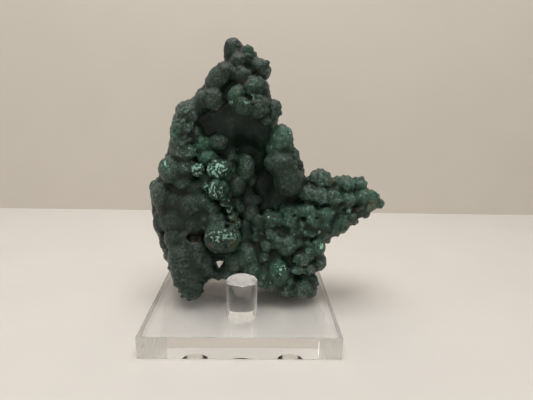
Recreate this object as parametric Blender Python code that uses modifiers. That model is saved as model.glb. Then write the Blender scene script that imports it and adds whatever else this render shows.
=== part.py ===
"""Malachite specimen on a clear acrylic stand.

One crust of dark green malachite, grown in round lumps around a deep hollow, stands on a square
clear slab. A short round peg stops its foot in front, and two taller pegs hold it up behind.
Metres, +Z up. The origin is the centre of the slab's underside, and the front faces -Y.
"""

import math
import random

import bmesh
import bpy
from mathutils import Euler, Matrix, Vector

MM = 0.001

# Stand: stock acrylic sheet and rod.
SLAB_WIDTH = 100 * MM
SLAB_THICKNESS = 12 * MM
SLAB_EDGE = 0.5 * MM
PEG_RADIUS = 8 * MM
PEG_EDGE = 0.4 * MM
PEG_SIDES = 32
FRONT_PEG_Y = -29 * MM
FRONT_PEG_HEIGHT = 20 * MM
BACK_PEG_X = 30 * MM
BACK_PEG_Y = 32 * MM
BACK_PEG_HEIGHT = 45 * MM
GAP = 0.3 * MM
PEG_CLEARANCE = 1.1 * MM

# Specimen: its mesh is made in millimetres and scaled down at the end.
# Lumps are read off a front elevation drawn in perspective from EYE. Each region names the depth
# of the plane it was read on, and a lump moves along its sight line to its own depth.
EYE = Vector((6.1, -212.9, 123.1))
REMESH_VOXEL = 1.3
FACE_TARGET = 8600

# Region: (depth of the reading plane, [(x, z, depth, half width, half height, half depth, tilt)])
LUMPS = {
    "crown": (0, [
        (-6.5, 148.1, 7, 5.2, 5.6, 5.4), (-8.2, 144.4, 7, 3.4, 4.8, 4.2), (-5, 145, 5, 3.6, 4.4, 4),
        (0.8, 146.6, 5, 3.2, 3.2, 3.6), (3.4, 145.2, 5, 2.1, 2.2, 2.4), (0.5, 143, 3, 3.4, 3.2, 3.5),
        (-4, 141.8, 2, 4.1, 4.1, 4.3), (7.2, 139, 4, 5.6, 5, 5), (10, 136.4, 4, 3.2, 3.4, 4),
        (-2, 134.6, 0, 5.2, 5, 4.8), (-10.6, 136, 2, 6.2, 6, 7), (-13.2, 133.2, 2, 6.8, 6.6, 7.2),
        (-15.6, 130.4, 2, 5.8, 6, 6.4), (-16.4, 122.6, -1, 5.7, 5.8, 6), (-22, 121.4, 2, 5, 5.4, 5.5),
        (-4.6, 130.2, 3, 4.4, 4.4, 4),
        (-10.6, 125.8, 3, 4.6, 5.2, 4), (-5, 124, -4, 5, 6, 5), (4.4, 129, -2, 5.8, 5.8, 5.5),
        (9.6, 128, 0, 3.5, 5, 4.5), (-1, 119, -7, 4.6, 4.6, 4.2), (7, 119, -4, 5.5, 6.5, 5),
        (15.3, 117.6, 0, 3.6, 4.6, 4), (11, 123, 0, 3, 3.4, 4), (12, 114, 2, 4, 5, 5),
    ]),
    "left ridge": (0, [
        (-26, 118.2, 2, 5, 5, 5.5), (-30.2, 114.6, 0, 6, 6.2, 6.5),
        (-32.6, 107.5, -1, 6, 6, 6.5), (-34.2, 101, -1, 6, 6, 6.5), (-38.2, 97.2, 2, 3.6, 5.6, 6),
        (-33, 94.5, -2, 7, 5, 6), (-27, 104, 3, 5, 6, 6), (-40, 83.8, 0, 7.8, 8, 8),
        (-38, 89.5, 1, 5.5, 3.5, 6), (-32.5, 86, -1, 5.6, 6, 6), (-34, 78, 0, 7, 6, 6),
        (-45.6, 69.2, 2, 7.4, 7.6, 7, 20), (-38, 67, 1, 7, 6.5, 7), (-30, 63, -1, 6, 6, 6),
        (-25, 68, 0, 5, 4.6, 5), (-27, 74, 1, 6.4, 6, 6), (-37, 73, 2, 6, 4, 5),
    ]),
    "left foot": (0, [
        (-47.8, 53.6, 4, 4.4, 7.4, 6), (-42, 55, 1, 7, 7.2, 7), (-37, 56, 0, 9, 9.5, 8.5),
        (-45.8, 41.6, 4, 3.4, 5.4, 5), (-29.5, 63, -1, 9, 8.5, 8.5), (-28, 54, -2, 8, 8, 8),
        (-22, 55, -5, 5.5, 7, 6), (-38.5, 44, -3, 8, 8, 7.5), (-32, 43, -5, 7.5, 6.5, 7),
        (-43.8, 33.4, -3, 3.6, 4.6, 5), (-23, 66, -2, 7, 6.5, 6.5), (-44.4, 62, 2, 5.6, 5, 6),
    ]),
    "leg": (-10, [
        (-34.6, 37, -9, 8, 6.5, 7), (-34, 29.5, -12, 7.8, 6, 7), (-32.4, 22.8, -13, 7.4, 6, 6.6),
        (-30.2, 17.6, -14, 6.6, 5.6, 6), (-28.8, 13.4, -14, 4.6, 4, 4.6), (-26, 19.5, -13, 3.6, 5.5, 5),
        (-33.5, 33, -9, 9.2, 9.5, 8), (-32, 24.5, -12, 8.6, 9, 7.4), (-29.8, 16.4, -14, 6.8, 6.4, 6.2),
        (-25.5, 34, -9, 6.5, 8, 7), (-24, 26, -10, 5.4, 5.4, 5.5),
        (-20.5, 29, -9, 4.6, 4.4, 5), (-14.5, 25.8, -9, 4.4, 2.5, 4),
        (-8.5, 27, -9, 4.5, 4, 5), (-19.5, 34, -9, 3, 4.4, 5), (-26, 41, -9, 5, 5, 5),
    ]),
    "front knobs": (0, [
        (-26, 84, -7, 3.1, 3.1, 3.2), (-14, 85, -8, 5.5, 4.8, 5), (-10.5, 86.5, -7, 3, 3.4, 3.5),
        (-17.5, 84, -7, 3, 3.4, 3.5), (-14.8, 73.5, -11, 5, 5.6, 5.2), (-22, 75, -7, 2.6, 2, 3),
        (-20, 79, -3, 5, 4, 4), (-11, 66, -9, 2.4, 2.6, 3), (-8.6, 61.8, -8, 2.4, 2.8, 3),
        (-6.6, 57, -8, 3, 3.4, 3.4), (-3.6, 52.6, -8, 2.6, 3.4, 3.4), (-16, 56, -10, 5, 4.2, 5),
        (-17, 62, -7, 4, 3.6, 4.5), (-10, 54, -6, 4, 5, 5), (-11, 80, -5, 3.4, 3.2, 4),
    ]),
    "front boss": (-10, [
        (-14, 48.6, -16, 8, 9, 8), (-7.7, 49.4, -16, 5.8, 6.2, 7), (-14.6, 43, -15, 5.4, 4, 6),
        (-8.4, 43.6, -15, 5.4, 3.6, 5.5),
    ]),
    "hollow": (0, [
        (-23, 98, 2, 5, 6, 6), (-20, 91, -2, 5.4, 4, 5), (-14.7, 99.8, 2.5, 5.3, 4.8, 5.2),
        (-14.5, 95.4, 5, 4, 3, 4), (-7, 95, 8, 3.2, 3.2, 3.5), (-8, 91, 6, 4, 3, 4),
        (0.2, 86, 5, 5.6, 8.8, 7), (2, 79.5, 7, 5, 5, 5), (-5, 75, 1, 6, 6.5, 6),
        (-10, 72, -4, 3, 6, 4), (2, 66.5, 4, 3.2, 3.4, 3.5), (-3, 62, 0, 4, 4, 4),
        (5, 60.5, 1, 4, 3.5, 4), (7, 87, 14, 4.5, 8, 6), (10, 78, 20, 8, 10, 6),
        (14, 67, 16, 9, 4, 6), (-12, 111, 16, 12, 10, 9), (3, 110, 17, 12, 11, 9),
        (12, 105, 13, 7, 11, 8), (-22, 110, 10, 6, 8, 7), (0, 100, 24, 16, 15, 9),
        (10, 96, 22, 10, 12, 8), (-14, 91, 12, 8, 6, 8), (2, 92, 21, 13, 9, 8.5),
        (12, 76, 17, 9, 14, 8), (10, 64, 13, 10, 8, 7), (-10, 80, 6, 12, 10, 7),
        (-12, 66, 3, 9, 8, 6), (1.5, 71, 9, 5, 7, 6), (5, 67, 7, 6, 4.2, 5), (-5, 67, 3, 5, 6, 5),
    ]),
    "right wall": (0, [
        (19.6, 102.6, 2, 6.2, 7.8, 7), (16.5, 97, 3, 5, 5, 6), (26, 93, 4, 3.6, 4.4, 5),
        (30, 87.8, 5, 2.3, 3, 2.6), (19, 89, -1, 8.3, 6.7, 8), (24.5, 86, 0, 5, 6, 7),
        (24.6, 78.4, -2, 8.4, 8.8, 8.5), (22, 84, -1, 7, 6, 8), (31, 79, 3, 3.8, 5, 6),
        (27.5, 89.5, 4, 3, 4, 5), (22, 97.5, 3, 4.4, 5, 6), (23.4, 104, 3, 3, 4.4, 5),
    ]),
    "arm": (0, [
        (42.6, 79.8, 4, 6.2, 5.8, 7), (36.5, 77, 5, 4, 4, 5), (47, 77.4, 4, 4.6, 3.8, 5),
        (52, 77, 6, 4, 4.6, 5), (57.5, 77.4, 5, 5.6, 4.4, 6), (64.2, 77.4, 6, 5, 4.4, 5),
        (35.5, 72, -1, 5, 4.5, 6), (42, 71, -1, 7, 4.6, 7), (50, 70, 0, 6, 5, 7),
        (58, 69, 2, 6, 4.6, 6), (66, 70.5, 4, 6, 5, 6), (72, 69.5, 5, 4.6, 4.6, 4.5),
        (77, 66.6, 6, 3.6, 2.8, 3.5), (70, 65, 4, 6, 3.6, 5), (71, 60, 4, 1.9, 3, 2.4),
        (65.5, 62, 4, 4, 4, 4), (60, 59.5, 2, 4.6, 4, 5), (55, 56, 0, 6, 5.4, 6),
        (51, 51.4, -1, 5.6, 5, 6), (57, 53, 1, 4.4, 4, 5), (62.4, 57, 3, 3.4, 3.6, 4),
        (48, 46, 0, 3, 3.4, 4),
    ]),
    "lap": (-5, [
        (3, 58, -1, 4, 4, 5), (7, 54, -3, 4.8, 6.8, 6), (14, 56, -3, 5, 6.5, 6),
        (19, 57, -3, 4, 5.5, 5.5), (25, 62, -3, 4.5, 4.5, 5), (26, 57, -5, 5.6, 6.6, 6.5),
        (30, 62, -3, 4, 4, 5), (35.5, 63, -3, 5.5, 4.5, 6), (38, 57.5, -5, 5, 5.5, 6),
        (32, 54, -5, 4.5, 4.6, 5.5), (45, 61, -3, 6, 5.5, 6), (44, 55, -4, 5.5, 5, 5.5),
        (28, 50.5, -7, 6, 3.2, 5), (36, 50.5, -6, 7, 3, 5), (44, 50, -4, 6, 3.4, 5),
        (6.5, 47, -6, 5, 4.5, 5), (15, 48, -7, 5, 4, 5), (13, 42, -8, 4.6, 4.6, 5.5),
        (12, 35.5, -9, 4.6, 4.6, 5), (19, 44.5, -9, 3.6, 5, 6), (24.6, 42.5, -10, 6.4, 6.4, 7),
        (31, 44, -8, 3, 4.2, 5.5), (36, 43, -8, 3, 3.6, 4), (37, 37.5, -9, 4.4, 4.4, 5),
        (42.8, 41.4, -8, 4.6, 5.3, 6), (44, 32.4, -7, 4.6, 5.8, 6), (33, 34.5, -11, 5, 4, 6),
        (31.6, 28.5, -11, 4.6, 4.2, 6), (37.4, 28.5, -10, 4.4, 4.4, 5), (1.5, 35, -9, 6.6, 8, 7),
        (-5, 33, -8, 6, 7, 7), (5, 28, -10, 6, 6, 6), (0.5, 49, -4, 5, 8, 5),
        (43, 65, 0, 5, 3.4, 5), (49, 65, 0, 5, 3.4, 5), (55, 65.2, 1, 5, 3.4, 5), (21, 51, -4, 5, 4.4, 5),
        (8, 40, -6, 5, 5, 5), (19, 36.6, -7, 5, 4.4, 5), (26, 33.6, -7, 5, 4, 5), (35, 22, -6, 6, 4.4, 5),
    ]),
    "toe": (-5, [
        (20.4, 26, -11, 7, 9, 7.6), (17, 20, -11, 6, 6, 6), (12.5, 24, -10, 5, 7, 6),
        (26, 19.5, -9, 5, 7, 6.4), (34, 16.5, -9, 6.6, 6.2, 7), (39, 14, -8, 3.6, 5, 6),
        (26, 14, -10, 6, 4, 5.6), (41.8, 19.4, -7, 2.4, 4.6, 4), (11, 18.6, -12, 4.4, 3, 5),
        (41.6, 13.4, -7, 2.4, 3.2, 4),
    ]),
}

# Outline of the elevation at depth 0, clockwise from the peak. The crust's inside and its back
# are worked out from it.
OUTLINE = [
    (-8, 154), (0, 150), (5, 146), (12, 139), (9, 133), (12, 129), (18, 117), (16, 111),
    (25, 104), (26, 97), (32, 88), (34, 81), (43, 85), (49, 79), (65, 81), (75, 70), (80, 64),
    (67, 59), (57, 49), (48, 41), (48, 30), (44, 24), (41, 9), (28, 10), (16, 13), (9, 16),
    (-5, 21), (-22, 19), (-24, 12), (-30, 5), (-36, 8), (-42, 22), (-49, 38), (-53, 57),
    (-54, 73), (-48, 81), (-43, 95), (-37, 118), (-27, 125), (-19, 134), (-10, 141),
]

# Hollow in the front of the crust, on the elevation: the crust goes back behind it.
HOLLOW_CENTRE = (4, 88)
HOLLOW_HALF_WIDTH = 21
HOLLOW_HALF_HEIGHT = 30
HOLLOW_DEPTH = 16

# Crust thickness and the lumps of its back.
MIDDLE_DEPTH = 10
FOOT_DEPTH = 1
FOOT_HEIGHT = 45
CORE_PITCH = 5.5
CORE_MIN_RADIUS = 3
CORE_MAX_RADIUS = 11
CORE_FLATNESS = 0.62
BACK_PITCH = 7
BACK_BULGE = 12
BACK_SIZES = (3.2, 4, 4.6, 5.4, 6.6, 8.6)
BACK_SHARE_OF_HOLLOW = 0.5
BACK_FLATNESS = 0.85
BACK_SEED = 11

# A slit of daylight below the front boss, on the elevation, and the cutter that opens it.
SLIT = (-15.4, 27.5)
SLIT_HALF_WIDTH = 1.5
SLIT_HALF_HEIGHT = 2.3
SLIT_LENGTH = 150


def clear_scene():
    """Remove what a new file holds."""
    for old in list(bpy.data.objects):
        bpy.data.objects.remove(old, do_unlink=True)


def make_collection(name):
    """Add a collection to the scene."""
    collection = bpy.data.collections.new(name)
    bpy.context.scene.collection.children.link(collection)
    return collection


def make_material(name, colour, roughness, metallic=0.0):
    """A Principled material of one colour."""
    material = bpy.data.materials.new(name)
    material.use_nodes = True
    shader = material.node_tree.nodes["Principled BSDF"]
    shader.inputs["Base Color"].default_value = (*colour, 1)
    shader.inputs["Roughness"].default_value = roughness
    shader.inputs["Metallic"].default_value = metallic
    return material


def acrylic_material():
    """Clear cast acrylic."""
    material = make_material("clear_acrylic", (0.93, 0.95, 0.95), 0.03)
    shader = material.node_tree.nodes["Principled BSDF"]
    shader.inputs["Transmission Weight"].default_value = 1
    shader.inputs["IOR"].default_value = 1.49
    return material


def add_object(name, mesh, collection, material):
    """Link a mesh as a named object with its material."""
    thing = bpy.data.objects.new(name, mesh)
    thing.data.materials.append(material)
    collection.objects.link(thing)
    return thing


def add_bevel(thing, width):
    """Break the sharp edges."""
    bevel = thing.modifiers.new("broken edge", "BEVEL")
    bevel.width = width
    bevel.segments = 1
    bevel.limit_method = "ANGLE"
    bevel.angle_limit = math.radians(40)


def build_slab(collection, material):
    """The square slab, lying on the ground."""
    bpy.ops.mesh.primitive_cube_add(size=1)
    slab = bpy.context.object
    slab.name = "acrylic_base"
    slab.data.name = slab.name
    slab.data.transform(Matrix.Diagonal((SLAB_WIDTH, SLAB_WIDTH, SLAB_THICKNESS, 1)))
    slab.location = (0, 0, SLAB_THICKNESS / 2)
    slab.data.materials.append(material)
    add_bevel(slab, SLAB_EDGE)
    for old in list(slab.users_collection):
        old.objects.unlink(slab)
    collection.objects.link(slab)
    return slab


def build_peg(name, x, y, height, slab, collection, material):
    """A round rod standing on the slab."""
    foot = SLAB_THICKNESS + GAP
    top = SLAB_THICKNESS + height
    form = bmesh.new()
    bmesh.ops.create_cone(
        form, cap_ends=True, segments=PEG_SIDES, radius1=PEG_RADIUS, radius2=PEG_RADIUS,
        depth=top - foot)
    mesh = bpy.data.meshes.new(name)
    form.to_mesh(mesh)
    form.free()
    peg = add_object(name, mesh, collection, material)
    peg.parent = slab
    peg.location = (x, y, (foot + top) / 2 - slab.location.z)
    add_bevel(peg, PEG_EDGE)
    peg.data.shade_smooth()
    peg.data.set_sharp_from_angle(angle=math.radians(40))
    return peg


def sight(x, z, depth, plane=0.0):
    """Where the sight line through (x, z) of a reading plane meets a depth, and the scale there."""
    scale = (depth - EYE.y) / (plane - EYE.y)
    return Vector((EYE.x + (x - EYE.x) * scale, depth, EYE.z + (z - EYE.z) * scale)), scale


def add_lump(form, x, z, depth, half, plane=0.0, tilt=0.0, fineness=3):
    """Add one round lump, its half sizes given as they look on the elevation."""
    centre, scale = sight(x, z, depth, plane)
    size = Matrix.Diagonal((half[0] * scale, half[2], half[1] * scale, 1))
    turn = Euler((0, math.radians(tilt), 0)).to_matrix().to_4x4()
    place = Matrix.Translation(centre) @ turn @ size
    bmesh.ops.create_icosphere(form, subdivisions=fineness, radius=1, matrix=place)


def distance_inside(x, z):
    """How far a point of the elevation lies inside the outline; negative outside."""
    inside = False
    nearest = math.inf
    for start, end in zip(OUTLINE, OUTLINE[1:] + OUTLINE[:1]):
        (ax, az), (bx, bz) = start, end
        run_x = bx - ax
        run_z = bz - az
        along = ((x - ax) * run_x + (z - az) * run_z) / (run_x * run_x + run_z * run_z)
        along = min(1, max(0, along))
        nearest = min(nearest, math.hypot(x - ax - along * run_x, z - az - along * run_z))
        if (az > z) != (bz > z) and x < ax + run_x * (z - az) / run_z:
            inside = not inside
    return nearest if inside else -nearest


def middle_depth(x, z):
    """Depth of the crust's middle: back at the hollow, forward at the foot."""
    across = (x - HOLLOW_CENTRE[0]) / HOLLOW_HALF_WIDTH
    up = (z - HOLLOW_CENTRE[1]) / HOLLOW_HALF_HEIGHT
    hollow = max(0, 1 - across * across - up * up)
    foot = max(0, min(1, (FOOT_HEIGHT - z) / 25))
    return MIDDLE_DEPTH + HOLLOW_DEPTH * math.sqrt(hollow) - (MIDDLE_DEPTH - FOOT_DEPTH) * foot


def elevation_grid(pitch):
    """Points of a staggered grid over the outline."""
    lows = [min(point[axis] for point in OUTLINE) for axis in (0, 1)]
    highs = [max(point[axis] for point in OUTLINE) for axis in (0, 1)]
    rows = int((highs[1] - lows[1]) / pitch) + 1
    columns = int((highs[0] - lows[0]) / pitch) + 1
    for row in range(rows):
        for column in range(columns):
            yield lows[0] + (column + 0.5 * (row % 2)) * pitch, lows[1] + row * pitch


def add_core(form):
    """Fill the crust between its front lumps and its back."""
    for x, z in elevation_grid(CORE_PITCH):
        room = distance_inside(x, z)
        if room < CORE_MIN_RADIUS or math.hypot(x - SLIT[0], z - SLIT[1]) < 6:
            continue
        radius = min(room - 0.5, CORE_MAX_RADIUS)
        add_lump(form, x, z, middle_depth(x, z), (radius, radius, radius * CORE_FLATNESS),
                 fineness=2)


def add_back(form):
    """Cover the back with lumps of mixed size that swell away from the rim."""
    chance = random.Random(BACK_SEED)
    for x, z in elevation_grid(BACK_PITCH):
        x += chance.uniform(-2.5, 2.5)
        z += chance.uniform(-2.5, 2.5)
        size = chance.choice(BACK_SIZES)
        proud = chance.uniform(-2, 1)
        room = distance_inside(x, z)
        if room < 2.6 or math.hypot(x - SLIT[0], z - SLIT[1]) < 8:
            continue
        radius = min(size, room * 0.95)
        swell = BACK_BULGE * math.sqrt(min(1, room / 20))
        behind = (middle_depth(x, z) - MIDDLE_DEPTH) * BACK_SHARE_OF_HOLLOW
        depth = MIDDLE_DEPTH + behind + swell + proud
        add_lump(form, x, z, depth, (radius, radius, radius * BACK_FLATNESS))


def separate_islands(form):
    """The sets of vertices that hang together."""
    left = set(form.verts)
    islands = []
    while left:
        island = {left.pop()}
        edge_of_it = list(island)
        while edge_of_it:
            vertex = edge_of_it.pop()
            for edge in vertex.link_edges:
                other = edge.other_vert(vertex)
                if other not in island:
                    island.add(other)
                    edge_of_it.append(other)
        left -= island
        islands.append(island)
    return islands


def keep_outer_skin(mesh):
    """Drop all but the largest island: what is left is one closed skin."""
    form = bmesh.new()
    form.from_mesh(mesh)
    islands = sorted(separate_islands(form), key=len)
    inner = [vertex for island in islands[:-1] for vertex in island]
    bmesh.ops.delete(form, geom=inner, context="VERTS")
    form.to_mesh(mesh)
    form.free()


def rest_on_stand(mesh):
    """Press the skin back where it would enter the slab or a peg, leaving the gap."""
    floor = (SLAB_THICKNESS + GAP) / MM
    pegs = [
        (0, FRONT_PEG_Y / MM, (SLAB_THICKNESS + FRONT_PEG_HEIGHT) / MM),
        (-BACK_PEG_X / MM, BACK_PEG_Y / MM, (SLAB_THICKNESS + BACK_PEG_HEIGHT) / MM),
        (BACK_PEG_X / MM, BACK_PEG_Y / MM, (SLAB_THICKNESS + BACK_PEG_HEIGHT) / MM),
    ]
    clearance = (PEG_RADIUS + PEG_CLEARANCE) / MM
    reach = 2 * REMESH_VOXEL
    for vertex in mesh.vertices:
        point = vertex.co
        point.z = max(point.z, floor)
        for x, y, top in pegs:
            away = Vector((point.x - x, point.y - y))
            if point.z < top + reach and away.length < clearance:
                away = away.normalized() * clearance
                point.x = x + away.x
                point.y = y + away.y


def evaluated_mesh(thing):
    """The object's mesh with its modifiers applied."""
    bpy.context.view_layer.update()
    state = thing.evaluated_get(bpy.context.evaluated_depsgraph_get())
    return bpy.data.meshes.new_from_object(state)


def build_slit_cutter(collection):
    """A long thin spindle along the sight line through the slit."""
    form = bmesh.new()
    add_lump(form, *SLIT, 0, (SLIT_HALF_WIDTH, SLIT_HALF_HEIGHT, 1))
    direction = (sight(*SLIT, 0)[0] - EYE).normalized()
    centre = sight(*SLIT, 0)[0]
    for vertex in form.verts:
        offset = vertex.co - centre
        vertex.co += direction * (offset.y * SLIT_LENGTH / 2)
    mesh = bpy.data.meshes.new("slit_cutter")
    form.to_mesh(mesh)
    form.free()
    cutter = bpy.data.objects.new("slit_cutter", mesh)
    cutter.hide_render = True
    cutter.display_type = "WIRE"
    collection.objects.link(cutter)
    return cutter


def build_malachite(collection, cutters, material):
    """The specimen: one closed crust of fused lumps."""
    form = bmesh.new()
    for plane, lumps in LUMPS.values():
        for x, z, depth, half_width, half_height, half_depth, *tilt in lumps:
            half = (half_width, half_height, half_depth)
            add_lump(form, x, z, depth, half, plane, tilt[0] if tilt else 0)
    add_core(form)
    add_back(form)
    mesh = bpy.data.meshes.new("malachite")
    form.to_mesh(mesh)
    form.free()
    specimen = add_object("malachite", mesh, collection, material)

    fuse = specimen.modifiers.new("fuse lumps", "REMESH")
    fuse.mode = "VOXEL"
    fuse.voxel_size = REMESH_VOXEL
    specimen.data = evaluated_mesh(specimen)
    specimen.modifiers.clear()
    keep_outer_skin(specimen.data)

    thin = specimen.modifiers.new("fewer faces", "DECIMATE")
    thin.ratio = min(1, FACE_TARGET / (2 * len(specimen.data.polygons)))
    slit = specimen.modifiers.new("slit", "BOOLEAN")
    slit.operation = "DIFFERENCE"
    slit.solver = "MANIFOLD"
    slit.object = build_slit_cutter(cutters)
    specimen.data = evaluated_mesh(specimen)
    specimen.modifiers.clear()
    keep_outer_skin(specimen.data)

    rest_on_stand(specimen.data)
    specimen.data.name = "malachite"
    specimen.data.transform(Matrix.Scale(MM, 4))
    specimen.data.shade_smooth()
    return specimen


def main():
    """Build the stand and the specimen on it."""
    clear_scene()
    parts = make_collection("malachite_specimen")
    cutters = make_collection("cutters")
    acrylic = acrylic_material()
    slab = build_slab(parts, acrylic)
    build_peg("peg_front", 0, FRONT_PEG_Y, FRONT_PEG_HEIGHT, slab, parts, acrylic)
    build_peg("peg_back_left", -BACK_PEG_X, BACK_PEG_Y, BACK_PEG_HEIGHT, slab, parts, acrylic)
    build_peg("peg_back_right", BACK_PEG_X, BACK_PEG_Y, BACK_PEG_HEIGHT, slab, parts, acrylic)
    build_malachite(parts, cutters, make_material("malachite", (0.025, 0.055, 0.042), 0.6))


if __name__ == "__main__":
    main()
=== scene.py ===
"""Finish for a malachite specimen on its clear stand.

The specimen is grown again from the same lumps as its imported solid, in finer steps: lumps, knobs on
the lumps, pits, wrinkles and grain. The stand is one polished clear piece. Lengths inside the
growing functions are millimetres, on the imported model's own axes; finished meshes are metres.
"""

import math
import random

import bmesh
import bpy
import numpy as np
from bpy.props import FloatProperty, FloatVectorProperty, IntProperty, PointerProperty
from mathutils import Matrix, Vector


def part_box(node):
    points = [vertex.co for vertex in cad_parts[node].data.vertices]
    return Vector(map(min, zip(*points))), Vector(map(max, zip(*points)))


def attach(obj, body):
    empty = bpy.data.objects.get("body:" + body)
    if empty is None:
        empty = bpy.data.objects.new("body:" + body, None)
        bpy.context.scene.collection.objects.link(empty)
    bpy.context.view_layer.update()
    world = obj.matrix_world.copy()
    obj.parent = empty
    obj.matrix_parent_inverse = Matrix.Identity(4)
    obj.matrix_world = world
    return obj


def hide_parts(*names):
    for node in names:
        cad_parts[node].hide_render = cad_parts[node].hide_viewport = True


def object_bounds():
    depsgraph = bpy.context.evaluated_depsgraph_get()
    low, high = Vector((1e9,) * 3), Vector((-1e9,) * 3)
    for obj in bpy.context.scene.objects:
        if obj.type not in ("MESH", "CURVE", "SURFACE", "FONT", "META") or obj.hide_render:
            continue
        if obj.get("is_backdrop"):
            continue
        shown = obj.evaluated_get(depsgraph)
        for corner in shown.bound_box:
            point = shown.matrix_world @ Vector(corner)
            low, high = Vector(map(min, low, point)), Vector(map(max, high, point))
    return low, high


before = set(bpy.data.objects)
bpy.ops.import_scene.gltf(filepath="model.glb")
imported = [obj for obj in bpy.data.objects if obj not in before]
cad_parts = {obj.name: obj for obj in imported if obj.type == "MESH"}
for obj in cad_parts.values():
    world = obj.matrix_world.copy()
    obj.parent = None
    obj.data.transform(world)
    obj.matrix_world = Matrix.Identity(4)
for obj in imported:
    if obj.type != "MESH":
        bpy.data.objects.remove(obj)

bl_info = {
    "name": "Malachite Specimen",
    "version": (1, 0, 0),
    "blender": (4, 5, 0),
    "location": "3D View > Sidebar > Malachite",
    "description": "Grows a velvety malachite crust and its clear stand on the packed model",
    "category": "Add Mesh",
}

CAD_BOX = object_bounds()
MM = 0.001

# Stand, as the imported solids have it.
SLAB_LOW, SLAB_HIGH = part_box("acrylic_base")
PEG_NODES = ("peg_front", "peg_back_left", "peg_back_right")
PEG_SIDES = 96
FLOOR = SLAB_HIGH.z / MM + 0.3
PEG_GAP = 0.15

# Front elevation: lumps are read in perspective from EYE, on a plane at some depth.
EYE = np.array((6.1, -212.9, 123.1))

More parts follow.
